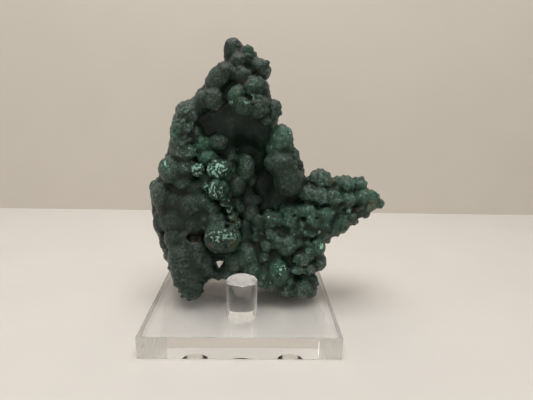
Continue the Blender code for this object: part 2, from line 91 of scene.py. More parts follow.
# Region: (depth of the reading plane, [(x, z, depth, half width, half height, half depth, tilt)])
LUMPS = {
    "crown": (0, [
        (-6.5, 148.1, 7, 5.2, 5.6, 5.4), (-8.2, 144.4, 7, 3.4, 4.8, 4.2), (-5, 145, 5, 3.6, 4.4, 4),
        (0.8, 146.6, 5, 3.2, 3.2, 3.6), (3.4, 145.2, 5, 2.1, 2.2, 2.4), (0.5, 143, 3, 3.4, 3.2, 3.5),
        (-4, 141.8, 2, 4.1, 4.1, 4.3), (7.2, 139, 4, 5.6, 5, 5), (10, 136.4, 4, 3.2, 3.4, 4),
        (-2, 134.6, 0, 5.2, 5, 4.8), (-10.6, 136, 2, 6.2, 6, 7), (-13.2, 133.2, 2, 6.8, 6.6, 7.2),
        (-15.6, 130.4, 2, 5.8, 6, 6.4), (-16.4, 122.6, -1, 5.7, 5.8, 6), (-22, 121.4, 2, 5, 5.4, 5.5),
        (-4.6, 130.2, 3, 4.4, 4.4, 4), (-10.6, 125.8, 3, 4.6, 5.2, 4), (-5, 124, -4, 5, 6, 5),
        (4.4, 129, -2, 5.8, 5.8, 5.5), (9.6, 128, 0, 3.5, 5, 4.5), (-1, 119, -7, 4.6, 4.6, 4.2),
        (7, 119, -4, 5.5, 6.5, 5), (15.3, 117.6, 0, 3.6, 4.6, 4), (11, 123, 0, 3, 3.4, 4),
        (12, 114, 2, 4, 5, 5),
    ]),
    "left ridge": (0, [
        (-26, 118.2, 2, 5, 5, 5.5), (-30.2, 114.6, 0, 6, 6.2, 6.5), (-32.6, 107.5, -1, 6, 6, 6.5),
        (-34.2, 101, -1, 6, 6, 6.5), (-38.2, 97.2, 2, 3.6, 5.6, 6), (-33, 94.5, -2, 7, 5, 6),
        (-27, 104, 3, 5, 6, 6), (-40, 83.8, 0, 7.8, 8, 8), (-38, 89.5, 1, 5.5, 3.5, 6),
        (-32.5, 86, -1, 5.6, 6, 6), (-34, 78, 0, 7, 6, 6), (-45.6, 69.2, 2, 7.4, 7.6, 7, 20),
        (-38, 67, 1, 7, 6.5, 7), (-30, 63, -1, 6, 6, 6), (-25, 68, 0, 5, 4.6, 5), (-27, 74, 1, 6.4, 6, 6),
        (-37, 73, 2, 6, 4, 5),
    ]),
    "left foot": (0, [
        (-47.8, 53.6, 4, 4.4, 7.4, 6), (-42, 55, 1, 7, 7.2, 7), (-37, 56, 0, 9, 9.5, 8.5),
        (-45.8, 41.6, 4, 3.4, 5.4, 5), (-29.5, 63, -1, 9, 8.5, 8.5), (-28, 54, -2, 8, 8, 8),
        (-22, 55, -5, 5.5, 7, 6), (-38.5, 44, -3, 8, 8, 7.5), (-32, 43, -5, 7.5, 6.5, 7),
        (-43.8, 33.4, -3, 3.6, 4.6, 5), (-23, 66, -2, 7, 6.5, 6.5), (-44.4, 62, 2, 5.6, 5, 6),
    ]),
    "leg": (-10, [
        (-34.6, 37, -9, 8, 6.5, 7), (-34, 29.5, -12, 7.8, 6, 7), (-32.4, 22.8, -13, 7.4, 6, 6.6),
        (-30.2, 17.6, -14, 6.6, 5.6, 6), (-28.8, 13.4, -14, 4.6, 4, 4.6), (-26, 19.5, -13, 3.6, 5.5, 5),
        (-33.5, 33, -9, 9.2, 9.5, 8), (-32, 24.5, -12, 8.6, 9, 7.4), (-29.8, 16.4, -14, 6.8, 6.4, 6.2),
        (-25.5, 34, -9, 6.5, 8, 7), (-24, 26, -10, 5.4, 5.4, 5.5), (-20.5, 29, -9, 4.6, 4.4, 5),
        (-14.5, 25.8, -9, 4.4, 2.5, 4), (-8.5, 27, -9, 4.5, 4, 5), (-19.5, 34, -9, 3, 4.4, 5),
        (-26, 41, -9, 5, 5, 5),
    ]),
    "front knobs": (0, [
        (-26, 84, -7, 3.1, 3.1, 3.2), (-14, 85, -8, 5.5, 4.8, 5), (-10.5, 86.5, -7, 3, 3.4, 3.5),
        (-17.5, 84, -7, 3, 3.4, 3.5), (-14.8, 73.5, -11, 5, 5.6, 5.2), (-22, 75, -7, 2.6, 2, 3),
        (-20, 79, -3, 5, 4, 4), (-11, 66, -9, 2.4, 2.6, 3), (-8.6, 61.8, -8, 2.4, 2.8, 3),
        (-6.6, 57, -8, 3, 3.4, 3.4), (-3.6, 52.6, -8, 2.6, 3.4, 3.4), (-16, 56, -10, 5, 4.2, 5),
        (-17, 62, -7, 4, 3.6, 4.5), (-10, 54, -6, 4, 5, 5), (-11, 80, -5, 3.4, 3.2, 4),
    ]),
    "front boss": (-10, [
        (-14, 48.6, -16, 8, 9, 8), (-7.7, 49.4, -16, 5.8, 6.2, 7), (-14.6, 43, -15, 5.4, 4, 6),
        (-8.4, 43.6, -15, 5.4, 3.6, 5.5),
    ]),
    "hollow": (0, [
        (-23, 98, 2, 5, 6, 6), (-20, 91, -2, 5.4, 4, 5), (-14.7, 99.8, 2.5, 5.3, 4.8, 5.2),
        (-14.5, 95.4, 5, 4, 3, 4), (-7, 95, 8, 3.2, 3.2, 3.5), (-8, 91, 6, 4, 3, 4),
        (0.2, 86, 5, 5.6, 8.8, 7), (2, 79.5, 7, 5, 5, 5), (-5, 75, 1, 6, 6.5, 6), (-10, 72, -4, 3, 6, 4),
        (2, 66.5, 4, 3.2, 3.4, 3.5), (-3, 62, 0, 4, 4, 4), (5, 60.5, 1, 4, 3.5, 4), (7, 87, 14, 4.5, 8, 6),
        (10, 78, 20, 8, 10, 6), (14, 67, 16, 9, 4, 6), (-12, 111, 16, 12, 10, 9), (3, 110, 17, 12, 11, 9),
        (12, 105, 13, 7, 11, 8), (-22, 110, 10, 6, 8, 7), (0, 100, 24, 16, 15, 9), (10, 96, 22, 10, 12, 8),
        (-14, 91, 12, 8, 6, 8), (2, 92, 21, 13, 9, 8.5), (12, 76, 17, 9, 14, 8), (10, 64, 13, 10, 8, 7),
        (-10, 80, 6, 12, 10, 7), (-12, 66, 3, 9, 8, 6), (1.5, 71, 9, 5, 7, 6), (5, 67, 7, 6, 4.2, 5),
        (-5, 67, 3, 5, 6, 5),
    ]),
    "right wall": (0, [
        (19.6, 102.6, 2, 6.2, 7.8, 7), (16.5, 97, 3, 5, 5, 6), (26, 93, 4, 3.6, 4.4, 5),
        (30, 87.8, 5, 2.3, 3, 2.6), (19, 89, -1, 8.3, 6.7, 8), (24.5, 86, 0, 5, 6, 7),
        (24.6, 78.4, -2, 8.4, 8.8, 8.5), (22, 84, -1, 7, 6, 8), (31, 79, 3, 3.8, 5, 6),
        (27.5, 89.5, 4, 3, 4, 5), (22, 97.5, 3, 4.4, 5, 6), (23.4, 104, 3, 3, 4.4, 5),
    ]),
    "arm": (0, [
        (42.6, 79.8, 4, 6.2, 5.8, 7), (36.5, 77, 5, 4, 4, 5), (47, 77.4, 4, 4.6, 3.8, 5),
        (52, 77, 6, 4, 4.6, 5), (57.5, 77.4, 5, 5.6, 4.4, 6), (64.2, 77.4, 6, 5, 4.4, 5),
        (35.5, 72, -1, 5, 4.5, 6), (42, 71, -1, 7, 4.6, 7), (50, 70, 0, 6, 5, 7), (58, 69, 2, 6, 4.6, 6),
        (66, 70.5, 4, 6, 5, 6), (72, 69.5, 5, 4.6, 4.6, 4.5), (77, 66.6, 6, 3.6, 2.8, 3.5),
        (70, 65, 4, 6, 3.6, 5), (71, 60, 4, 1.9, 3, 2.4), (65.5, 62, 4, 4, 4, 4), (60, 59.5, 2, 4.6, 4, 5),
        (55, 56, 0, 6, 5.4, 6), (51, 51.4, -1, 5.6, 5, 6), (57, 53, 1, 4.4, 4, 5),
        (62.4, 57, 3, 3.4, 3.6, 4), (48, 46, 0, 3, 3.4, 4),
    ]),
    "lap": (-5, [
        (3, 58, -1, 4, 4, 5), (7, 54, -3, 4.8, 6.8, 6), (14, 56, -3, 5, 6.5, 6), (19, 57, -3, 4, 5.5, 5.5),
        (25, 62, -3, 4.5, 4.5, 5), (26, 57, -5, 5.6, 6.6, 6.5), (30, 62, -3, 4, 4, 5),
        (35.5, 63, -3, 5.5, 4.5, 6), (38, 57.5, -5, 5, 5.5, 6), (32, 54, -5, 4.5, 4.6, 5.5),
        (45, 61, -3, 6, 5.5, 6), (44, 55, -4, 5.5, 5, 5.5), (28, 50.5, -7, 6, 3.2, 5),
        (36, 50.5, -6, 7, 3, 5), (44, 50, -4, 6, 3.4, 5), (6.5, 47, -6, 5, 4.5, 5), (15, 48, -7, 5, 4, 5),
        (13, 42, -8, 4.6, 4.6, 5.5), (12, 35.5, -9, 4.6, 4.6, 5), (19, 44.5, -9, 3.6, 5, 6),
        (24.6, 42.5, -10, 6.4, 6.4, 7), (31, 44, -8, 3, 4.2, 5.5), (36, 43, -8, 3, 3.6, 4),
        (37, 37.5, -9, 4.4, 4.4, 5), (42.8, 41.4, -8, 4.6, 5.3, 6), (44, 32.4, -7, 4.6, 5.8, 6),
        (33, 34.5, -11, 5, 4, 6), (31.6, 28.5, -11, 4.6, 4.2, 6), (37.4, 28.5, -10, 4.4, 4.4, 5),
        (1.5, 35, -9, 6.6, 8, 7), (-5, 33, -8, 6, 7, 7), (5, 28, -10, 6, 6, 6), (0.5, 49, -4, 5, 8, 5),
        (43, 65, 0, 5, 3.4, 5), (49, 65, 0, 5, 3.4, 5), (55, 65.2, 1, 5, 3.4, 5), (21, 51, -4, 5, 4.4, 5),
        (8, 40, -6, 5, 5, 5), (19, 36.6, -7, 5, 4.4, 5), (26, 33.6, -7, 5, 4, 5), (35, 22, -6, 6, 4.4, 5),
    ]),
    "toe": (-5, [
        (20.4, 26, -11, 7, 9, 7.6), (17, 20, -11, 6, 6, 6), (12.5, 24, -10, 5, 7, 6),
        (26, 19.5, -9, 5, 7, 6.4), (34, 16.5, -9, 6.6, 6.2, 7), (39, 14, -8, 3.6, 5, 6),
        (26, 14, -10, 6, 4, 5.6), (41.8, 19.4, -7, 2.4, 4.6, 4), (11, 18.6, -12, 4.4, 3, 5),
        (41.6, 13.4, -7, 2.4, 3.2, 4),
    ]),
}

# Outline of the elevation at depth 0, clockwise from the peak.
OUTLINE = [
    (-8, 154), (0, 150), (5, 146), (12, 139), (9, 133), (12, 129), (18, 117), (16, 111), (25, 104),
    (26, 97), (32, 88), (34, 81), (43, 85), (49, 79), (65, 81), (75, 70), (80, 64), (67, 59), (57, 49),
    (48, 41), (48, 30), (44, 24), (41, 9), (28, 10), (16, 13), (9, 16), (-5, 21), (-22, 19), (-24, 12),
    (-30, 5), (-36, 8), (-42, 22), (-49, 38), (-53, 57), (-54, 73), (-48, 81), (-43, 95), (-37, 118),
    (-27, 125), (-19, 134), (-10, 141),
]

# Hollow, crust thickness and the lumps of the back.
HOLLOW_CENTRE = (4, 88)
HOLLOW_HALF_WIDTH = 21
HOLLOW_HALF_HEIGHT = 30
HOLLOW_DEPTH = 16
MIDDLE_DEPTH = 10
FOOT_DEPTH = 1
FOOT_HEIGHT = 45
CORE_PITCH = 5.5
CORE_MIN_RADIUS = 3
CORE_MAX_RADIUS = 11
CORE_FLATNESS = 0.62
CORE_INSET = 0.5
CORE_OFF_SLIT = 6
BACK_PITCH = 7
BACK_BULGE = 12
BACK_SIZES = (3.2, 4, 4.6, 5.4, 6.6, 8.6)
BACK_SHARE_OF_HOLLOW = 0.5
BACK_FLATNESS = 0.85
BACK_SEED = 11
BACK_SHIFT = 2.5
BACK_PROUD = (-2, 1)
BACK_MIN_ROOM = 2.6
BACK_OFF_SLIT = 8
BACK_RIM = 20

# Slit of daylight below the front boss: its middle and its outline.
SLIT = (-15.4, 27.5)
SLIT_OUTLINE = [(-16.3, 29.4), (-14.2, 29.9), (-12, 29.6), (-13, 27.6), (-14.6, 25.2), (-15.7, 27.4)]
SLIT_REACH = (-50, 70)

# Where the front is knobbly: (x, z, reading plane, half width, half height, smallest and largest
# knob radius, share of the surface that knobs cover).
KNOB_ZONES = [
    (2, 146, 0, 4, 4, 0.9, 1.4, 0.5), (8, 137, 0, 7, 6, 1.1, 2.0, 0.2), (4, 126, 0, 9, 8, 0.9, 1.6, 0.6),
    (8, 118, 0, 6, 8, 0.9, 1.6, 0.6), (15, 117, 0, 5, 6, 1.0, 1.8, 0.7),
    (-33, 107, 0, 8, 14, 1.0, 1.7, 0.5), (-26, 84, 0, 5, 5, 0.9, 1.4, 0.9),
    (-14, 85, 0, 8, 6, 0.9, 1.5, 0.9), (-15, 73, 0, 7, 6, 0.9, 1.5, 0.9),
    (-8, 60, 0, 6, 11, 0.9, 1.5, 0.9), (-11, 47, -10, 9, 6, 0.9, 1.5, 0.9),
    (-22, 95, 0, 6, 7, 0.8, 1.2, 0.7), (28, 96, 0, 4, 9, 0.9, 1.5, 0.7), (31, 88, 0, 4, 5, 0.9, 1.4, 0.8),
    (44, 80, 0, 10, 6, 0.9, 1.5, 0.25), (60, 74, 0, 22, 12, 0.9, 1.6, 0.35),
    (58, 57, 0, 13, 11, 0.8, 1.5, 0.6), (30, 60, -5, 22, 9, 0.9, 1.5, 0.25),
    (25, 46, -5, 22, 10, 0.9, 1.5, 0.18), (35, 32, -5, 11, 8, 0.9, 1.6, 0.45),
    (22, 20, -5, 16, 12, 0.9, 1.5, 0.12), (-30, 22, -10, 10, 14, 0.8, 1.3, 0.08),
    (-27, 60, 0, 10, 9, 0.9, 1.5, 0.1), (2, 106, 0, 20, 10, 1, 1, 0),
]
PLAIN_KNOBS = (0.9, 1.6, 0.015)
BACK_KNOBS = (1.1, 2.4, 0.4)
KNOB_SPACING = 1.7
KNOB_SINK = 0.25
KNOB_SEED = 5
BURIED_SHARE = 0.93

# Steps of growing: ball fineness, evening out, and how the back gives up its faces.
LUMP_FINENESS = 4
KNOB_FINENESS = 2
FIRST_VOXELS = 1.6
SOFTEN_SHARE = 0.6
LAST_ROUNDS = 2
THINNING_STEPS = 5
WIDE_ROUNDS = 12

# Where the crust is even: (x, z, reading plane, half width, half height, least depth, strength).
CALM_ZONES = [
    (-4, 106, 0, 28, 16, 2, 1), (8, 97, 0, 15, 15, 5, 1), (11, 74, 0, 12, 24, 5, 1),
    (-32, 24, -10, 16, 24, -40, 0.5), (-15, 33, -10, 10, 10, -40, 0.4), (-30, 58, 0, 16, 17, -40, 0.35),
    (19, 24, -5, 9, 9, -40, 0.15),
]
RIB_WIDTH = 1.3
RIB_HEIGHT = 0.26
RIB_MIN_LUMP = 2.6
RIB_SEED = 8

# Fine relief: noise as (height, size, seed), heights as (on plain lumps, more on rough ones).
SWELLS = ((0.35, 8, 1), (0.2, 3.5, 2))
DOME_HEIGHT = (0.02, 0.6)
DOME_SIZE = 2.5
GRAIN_HEIGHT = (0.02, 0.24)
GRAIN_SIZE = 1.2
BACK_ROUGHNESS = 0.6
CALM_RELIEF = 0.15

# Upright bands on the leg, and rings on one lump of the crown: (middle x, z, radius).
LEG_ZONE = (-31, 24, -10, 15, 24)
LEG_BAND_HEIGHT = 0.15
LEG_BAND_WIDTH = 1.7
LEG_GRAIN_HEIGHT = 0.12
RINGED = (-1, 119, 4.6)
RING_HEIGHT = 0.22
RING_WIDTH = 1.5

# Pits pressed in along the sight line: (x, z, reading plane, half width, half height, depth).
PITS = [
    (-27.8, 47.6, -10, 4.6, 3.2, 3.4), (58, 62.5, 0, 2.6, 1.5, 2), (45, 66, -5, 2.4, 1.2, 1.5),
    (28, 60, -5, 1.7, 1.3, 1.3), (34, 58, -5, 1.5, 1.8, 1.4), (41, 58.5, -5, 1.7, 1.2, 1.2),
    (-9.5, 51.5, 0, 2.2, 1.3, 2.5), (-11, 60, 0, 1.4, 2.2, 2.5),
]
PIT_SHARPNESS = 1.8

# Coloured places on the front, and patches of painted shade and painted light: mask, then (x, z, reading
# plane, half width, half height, strength).
STAINS_AND_PAINTED_LIGHT = {
    "mint": [
        (-8.2, 121.8, 0, 1.7, 1.5, 0.55), (0.9, 121.5, 0, 1.6, 1, 0.6), (4.1, 124.1, 0, 1.6, 1.4, 0.6),
        (-26, 84.5, 0, 3, 3, 0.9), (-15, 85.5, 0, 5.5, 4, 0.8), (-16.5, 72.5, 0, 4.4, 3.6, 0.95),
        (-22, 75.5, 0, 2, 1.6, 0.6), (-11, 66, 0, 2.2, 2.2, 0.8), (-9, 62, 0, 2, 2.4, 0.6),
        (-7, 57, 0, 2.4, 2.8, 0.6), (-4, 52.5, 0, 2.2, 2.8, 0.5), (-15.5, 48.4, -10, 4.2, 3, 1),
        (-8, 50, -10, 3.8, 2.6, 0.85), (-43, 87.5, 0, 2.2, 1.7, 0.6), (24.3, 106, 0, 1, 1, 1),
        (43, 51, -5, 1.3, 1.2, 0.9), (44.5, 42, -5, 1.8, 1.7, 0.9), (28.5, 49, -5, 0.8, 0.8, 0.7),
        (14, 59, -5, 0.7, 0.7, 0.7), (22.5, 28, -5, 2.4, 1.3, 1), (20.5, 23, -5, 1.3, 1.2, 0.8),
        (16.5, 18.5, -5, 1.2, 1, 0.6), (43.5, 35, -5, 0.9, 0.8, 0.6), (60.5, 62, 0, 2, 1.2, 0.5),
        (56, 58, 0, 1.6, 1.2, 0.5), (20, 78, 0, 0.7, 0.7, 0.5),
    ],
    "green": [
        (2.4, 148, 0, 2.6, 2, 1), (-5, 124, 0, 4.6, 5.4, 0.5), (4, 129, 0, 4, 4, 0.4),
        (-40, 106, 0, 4, 4, 0.7), (-43, 87, 0, 4, 3.4, 0.6), (24, 106, 0, 2.4, 2.4, 0.9),
        (20, 103, 0, 5.6, 6.4, 0.3), (-22, 95, 0, 5, 6, 1), (-14, 84, 0, 7, 6, 0.5),
        (-15, 73, 0, 6.4, 6.4, 0.5), (-10, 47, -10, 9, 7, 0.4), (65, 74, 0, 10, 6, 0.4),
        (54, 57, 0, 7, 6, 0.4), (22, 26, -5, 7, 8, 0.35), (43, 42, -5, 5, 5, 0.35),
        (30, 60, -5, 16, 7, 0.25),
    ],
    "fresh": [
        (24, 44, -5, 30, 26, 1), (-12, 70, 0, 16, 24, 0.9), (22, 98, 0, 12, 16, 0.9),
        (55, 68, 0, 24, 14, 0.6), (0, 124, 0, 12, 10, 0.5),
    ],
    # Painted light: patches where the colour is lightened to stand in for light falling there, the hollow
    # among them.
    "painted_light": [
        (-34, 104, 0, 9, 14, 0.9), (20, 103, 0, 6, 8, 0.7), (55, 72, 0, 24, 12, 0.8),
        (25, 22, -5, 18, 12, 0.5), (6, 136, 0, 6, 6, 0.4), (4, 97, 0, 10, 8, 1),
    ],
    # Painted shade: patches where the colour is darkened to stand in for shade.
    "painted_shade": [
        (-3, 143, 0, 15, 12, 0.9), (-5, 127, 0, 22, 12, 0.5), (22, 80, 0, 12, 12, 1),
        (-38, 50, 0, 15, 16, 0.9), (-32, 24, -10, 13, 20, 0.5), (-1, 62, 0, 13, 14, 0.9),
        (-12, 46, -10, 12, 12, 0.6),
    ],
    "rust": [
        (49, 79, 0, 1.2, 1, 0.8), (65, 63, 0, 1.4, 1.2, 0.9), (48, 42, 0, 1.4, 1, 0.8),
        (42, 26, 0, 1.1, 1.3, 0.8), (71, 74, 0, 1.2, 1, 0.4), (53, 45, 0, 1.2, 0.8, 0.5),
        (0.3, 132, 0, 1.4, 0.9, 0.6),
    ],
    "matrix": [
        (-26.6, 47.6, -10, 2.3, 1.1, 1), (-27.6, 46, -10, 1.3, 1.5, 1), (-5.2, 44.5, -10, 2, 3.4, 0.42),
        (-17.5, 43.5, -10, 2.4, 1.8, 0.5), (0, 130, 0, 0.8, 2, 0.36), (2.4, 134.4, 0, 1.6, 0.7, 0.36),
        (6, 135, 0, 2, 0.6, 0.36), (74, 66, 0, 3.4, 2.6, 0.4), (-6, 55, 0, 2, 3, 0.4),
    ],
}

# Camera, read with the elevation: degrees, and focal length over image width.
CAMERA_PITCH = 14.62
CAMERA_ROLL = 1.40
CAMERA_YAW = -1.75
FOCAL_SHARE = 385.9 / 533
SENSOR = 36.0
WALL_HEIGHT = 0.9

# Second colour of a board, as a share of its first.
CLOUD_SHARE = 0.98


# ---------------------------------------------------------------- growing the specimen

def sight(x, z, depth, plane=0.0):
    """Where the sight line through (x, z) of a reading plane meets a depth, and the scale there."""
    scale = (depth - EYE[1]) / (plane - EYE[1])
    centre = (EYE[0] + (x - EYE[0]) * scale, depth, EYE[2] + (z - EYE[2]) * scale)
    return centre, scale


def read_on(points, plane):
    """Where points show on a reading plane: x and z."""
    scale = (plane - EYE[1]) / (points[:, 1] - EYE[1])
    return EYE[0] + (points[:, 0] - EYE[0]) * scale, EYE[2] + (points[:, 2] - EYE[2]) * scale


def distance_inside(x, z):
    """How far points of the elevation lie inside the outline; negative outside."""
    x = np.asarray(x, float)
    z = np.asarray(z, float)
    inside = np.zeros(x.shape, bool)
    nearest = np.full(x.shape, np.inf)
    for (ax, az), (bx, bz) in zip(OUTLINE, OUTLINE[1:] + OUTLINE[:1]):
        run_x = bx - ax
        run_z = bz - az
        along = ((x - ax) * run_x + (z - az) * run_z) / (run_x * run_x + run_z * run_z)
        along = np.clip(along, 0, 1)
        nearest = np.minimum(nearest, np.hypot(x - ax - along * run_x, z - az - along * run_z))
        if az != bz:
            crosses = ((az > z) != (bz > z)) & (x < ax + run_x * (z - az) / run_z)
            inside ^= crosses
    return np.where(inside, nearest, -nearest)


def middle_depth(x, z):
    """Depth of the crust's middle: back at the hollow, forward at the foot."""
    across = (x - HOLLOW_CENTRE[0]) / HOLLOW_HALF_WIDTH
    up = (z - HOLLOW_CENTRE[1]) / HOLLOW_HALF_HEIGHT
    hollow = np.maximum(0, 1 - across * across - up * up)
    foot = np.clip((FOOT_HEIGHT - z) / 25, 0, 1)
    return MIDDLE_DEPTH + HOLLOW_DEPTH * np.sqrt(hollow) - (MIDDLE_DEPTH - FOOT_DEPTH) * foot


def elevation_grid(pitch):
    """Points of a staggered grid over the outline."""
    lows = [min(point[axis] for point in OUTLINE) for axis in (0, 1)]
    highs = [max(point[axis] for point in OUTLINE) for axis in (0, 1)]
    rows = int((highs[1] - lows[1]) / pitch) + 1
    columns = int((highs[0] - lows[0]) / pitch) + 1
    for row in range(rows):
        for column in range(columns):
            yield lows[0] + (column + 0.5 * (row % 2)) * pitch, lows[1] + row * pitch


def front_lumps():
    """Centre, half sizes and tilt of every lump that is read off the front."""
    for plane, lumps in LUMPS.values():
        for x, z, depth, half_width, half_height, half_depth, *tilt in lumps:
            centre, scale = sight(x, z, depth, plane)
            yield centre, (half_width * scale, half_depth, half_height * scale), (tilt or [0])[0]


def core_lumps():
    """Lumps that fill the crust between its front and its back."""
    for x, z in elevation_grid(CORE_PITCH):
        room = float(distance_inside(x, z))
        if room < CORE_MIN_RADIUS or math.hypot(x - SLIT[0], z - SLIT[1]) < CORE_OFF_SLIT:
            continue
        radius = min(room - CORE_INSET, CORE_MAX_RADIUS)
        centre, scale = sight(x, z, float(middle_depth(x, z)))
        yield centre, (radius * scale, radius * CORE_FLATNESS, radius * scale), 0


def back_lumps():
    """Lumps of mixed size over the back, swelling away from the rim."""
    chance = random.Random(BACK_SEED)
    for x, z in elevation_grid(BACK_PITCH):
        x += chance.uniform(-BACK_SHIFT, BACK_SHIFT)
        z += chance.uniform(-BACK_SHIFT, BACK_SHIFT)
        size = chance.choice(BACK_SIZES)
        proud = chance.uniform(*BACK_PROUD)
        room = float(distance_inside(x, z))
        if room < BACK_MIN_ROOM or math.hypot(x - SLIT[0], z - SLIT[1]) < BACK_OFF_SLIT:
            continue
        radius = min(size, room * 0.95)
        swell = BACK_BULGE * math.sqrt(min(1, room / BACK_RIM))
        behind_hollow = float(middle_depth(x, z) - MIDDLE_DEPTH) * BACK_SHARE_OF_HOLLOW
        depth = MIDDLE_DEPTH + behind_hollow + swell + proud
        centre, scale = sight(x, z, depth)
        yield centre, (radius * scale, radius * BACK_FLATNESS, radius * scale), 0


def lump_arrays(lumps):
    """Lumps as three arrays: centres, half sizes and tilts in radians."""
    centres, halves, tilts = zip(*lumps)
    return np.array(centres, float), np.array(halves, float), np.radians(np.array(tilts, float))


def turned(vectors, tilts):
    """Vectors turned about Y."""
    cos, sin = np.cos(tilts), np.sin(tilts)
    x, y, z = vectors[..., 0], vectors[..., 1], vectors[..., 2]
    return np.stack((x * cos + z * sin, y + 0 * x, z * cos - x * sin), axis=-1)


def unit_ball(fineness):
    """Vertices and triangles of a unit ball."""
    form = bmesh.new()
    bmesh.ops.create_icosphere(form, subdivisions=fineness, radius=1)
    points = np.array([vertex.co for vertex in form.verts])
    faces = np.array([[vertex.index for vertex in face.verts] for face in form.faces])
    form.free()
    return points, faces


def balls(centres, halves, tilts, fineness):
    """Vertices and triangles of many ellipsoids."""
    points, faces = unit_ball(fineness)
    spread = turned(points[None] * halves[:, None], tilts[:, None]) + centres[:, None]
    joined = faces[None] + (np.arange(len(centres)) * len(points))[:, None, None]
    return spread.reshape(-1, 3), joined.reshape(-1, 3)


def around(points, lumps, reach):
    """For each lump: its number, and the points near it with their places in its own units."""
    order = np.argsort(points[:, 0])
    across = points[order, 0]
    for number, (centre, half, tilt) in enumerate(zip(*lumps)):
        span = half.max() * reach
        low, high = np.searchsorted(across, (centre[0] - span, centre[0] + span))
        near = order[low:high]
        near = near[np.abs(points[near, 2] - centre[2]) < span]
        yield number, near, turned(points[near] - centre, -tilt) / half


def buried(points, lumps, share):
    """Which points lie inside any lump shrunk to a share of its size."""
    hidden = np.zeros(len(points), bool)
    for _, near, local in around(points, lumps, share):
        hidden[near] |= (local * local).sum(1) < share * share
    return hidden


def zone_strength(points, x, z, plane, half_width, half_height):
    """1 in the middle of an ellipse of the elevation, 0 at its edge and beyond."""
    across, up = read_on(points, plane)
    away = np.hypot((across - x) / half_width, (up - z) / half_height)
    return np.clip(1 - away, 0, 1)


def behind(points):
    """0 on the front of the crust, 1 on its back."""
    x, z = read_on(points, 0)
    return smooth((points[:, 1] - middle_depth(x, z) - 1) / 6)


def smooth(value):
    """Smooth step from 0 to 1."""
    value = np.clip(value, 0, 1)
    return value * value * (3 - 2 * value)


def knob_arrays(lumps):
    """Small knobs on the lumps, denser where the zones say."""
    chance = np.random.default_rng(KNOB_SEED)
    places = []
    outward = []
    for centre, half, tilt in zip(*lumps):
        area = 4 * math.pi * float(np.mean(half)) ** 2
        count = max(6, int(area / KNOB_SPACING ** 2))
        height = 1 - 2 * (np.arange(count) + 0.5) / count
        angle = np.arange(count) * math.pi * (3 - math.sqrt(5)) + chance.uniform(0, 6.28)
        ring = np.sqrt(1 - height * height)
        unit = np.stack((ring * np.cos(angle), ring * np.sin(angle), height), axis=1)
        unit += chance.normal(0, 0.35 * KNOB_SPACING / float(np.mean(half)), unit.shape)
        unit /= np.linalg.norm(unit, axis=1, keepdims=True)
        places.append(turned(unit * half, tilt) + centre)
        slope = turned(unit / half, tilt)
        outward.append(slope / np.linalg.norm(slope, axis=1, keepdims=True))
    places = np.concatenate(places)
    outward = np.concatenate(outward)
    shown = ~buried(places, lumps, BURIED_SHARE)
    places, outward = places[shown], outward[shown]

    small, large, cover = (np.full(len(places), value) for value in PLAIN_KNOBS)
    for *zone, low, high, share in KNOB_ZONES:
        within = zone_strength(places, *zone) > 0
        small[within], large[within], cover[within] = low, high, share
    back = behind(places) > 0.5
    small[back], large[back], cover[back] = BACK_KNOBS
    kept = chance.random(len(places)) < cover
    radius = small + (large - small) * chance.random(len(places)) ** 1.5
    places, outward, radius = places[kept], outward[kept], radius[kept]
    centres = places - outward * (radius * KNOB_SINK)[:, None]
    halves = np.repeat(radius[:, None], 3, axis=1) * chance.uniform(0.9, 1.1, (len(radius), 3))
    return centres, halves, np.zeros(len(radius))


# ---------------------------------------------------------------- noise

def hashed(cells, seed):
    """A number from 0 to 1 for each whole-number cell."""
    x, y, z = (cells[..., axis].astype(np.int64).astype(np.uint64) for axis in range(3))
    mixed = x * np.uint64(73856093) ^ y * np.uint64(19349663) ^ z * np.uint64(83492791)
    mixed ^= np.uint64(seed * 2654435761 % 2 ** 32)
    mixed = (mixed ^ (mixed >> np.uint64(15))) * np.uint64(2246822519)
    mixed = (mixed ^ (mixed >> np.uint64(13))) * np.uint64(3266489917)
    mixed ^= mixed >> np.uint64(16)
    return (mixed & np.uint64(0xFFFFFF)).astype(float) / 0xFFFFFF


def value_noise(points, size, seed):
    """Smooth noise from -1 to 1 with waves of about the size."""
    scaled = points / size
    low = np.floor(scaled)
    part = scaled - low
    part = part * part * (3 - 2 * part)
    total = np.zeros(len(points))
    for corner in np.ndindex(2, 2, 2):
        weight = np.prod(np.where(corner, part, 1 - part), axis=1)
        total += weight * hashed(low + corner, seed)
    return total * 2 - 1


def cell_domes(points, size, seed):
    """Round domes packed side by side: 1 at a dome's top, 0 in the creases between them."""
    scaled = points / size
    low = np.floor(scaled)
    first = np.full(len(points), 9.0)
    for step in np.ndindex(3, 3, 3):
        cell = low + np.array(step) - 1
        jitter = np.stack([hashed(cell, seed + axis) for axis in range(3)], axis=1)
        away = ((cell + jitter - scaled) ** 2).sum(1)
        first = np.minimum(first, away)
    return np.clip(1 - first / 0.75, 0, 1)


# ---------------------------------------------------------------- mesh helpers

def mesh_from(name, points, faces):
    """A mesh of given vertices and faces."""
    mesh = bpy.data.meshes.new(name)
    mesh.from_pydata(points, [], faces)
    return mesh


def coordinates(mesh):
    """The vertices of a mesh as an array."""
    flat = np.empty(len(mesh.vertices) * 3, np.float32)
    mesh.vertices.foreach_get("co", flat)
    return flat.reshape(-1, 3).astype(float)


def normals(mesh):
    """The vertex normals of a mesh as an array."""
    flat = np.empty(len(mesh.vertices) * 3, np.float32)
    mesh.vertex_normals.foreach_get("vector", flat)
    return flat.reshape(-1, 3).astype(float)


def set_coordinates(mesh, points):
    """Move the vertices of a mesh."""
    mesh.vertices.foreach_set("co", points.astype(np.float32).ravel())
    mesh.update()


def edge_pairs(mesh):
    """The two vertices of every edge."""
    flat = np.empty(len(mesh.edges) * 2, np.int32)
    mesh.edges.foreach_get("vertices", flat)
    return flat.reshape(-1, 2)


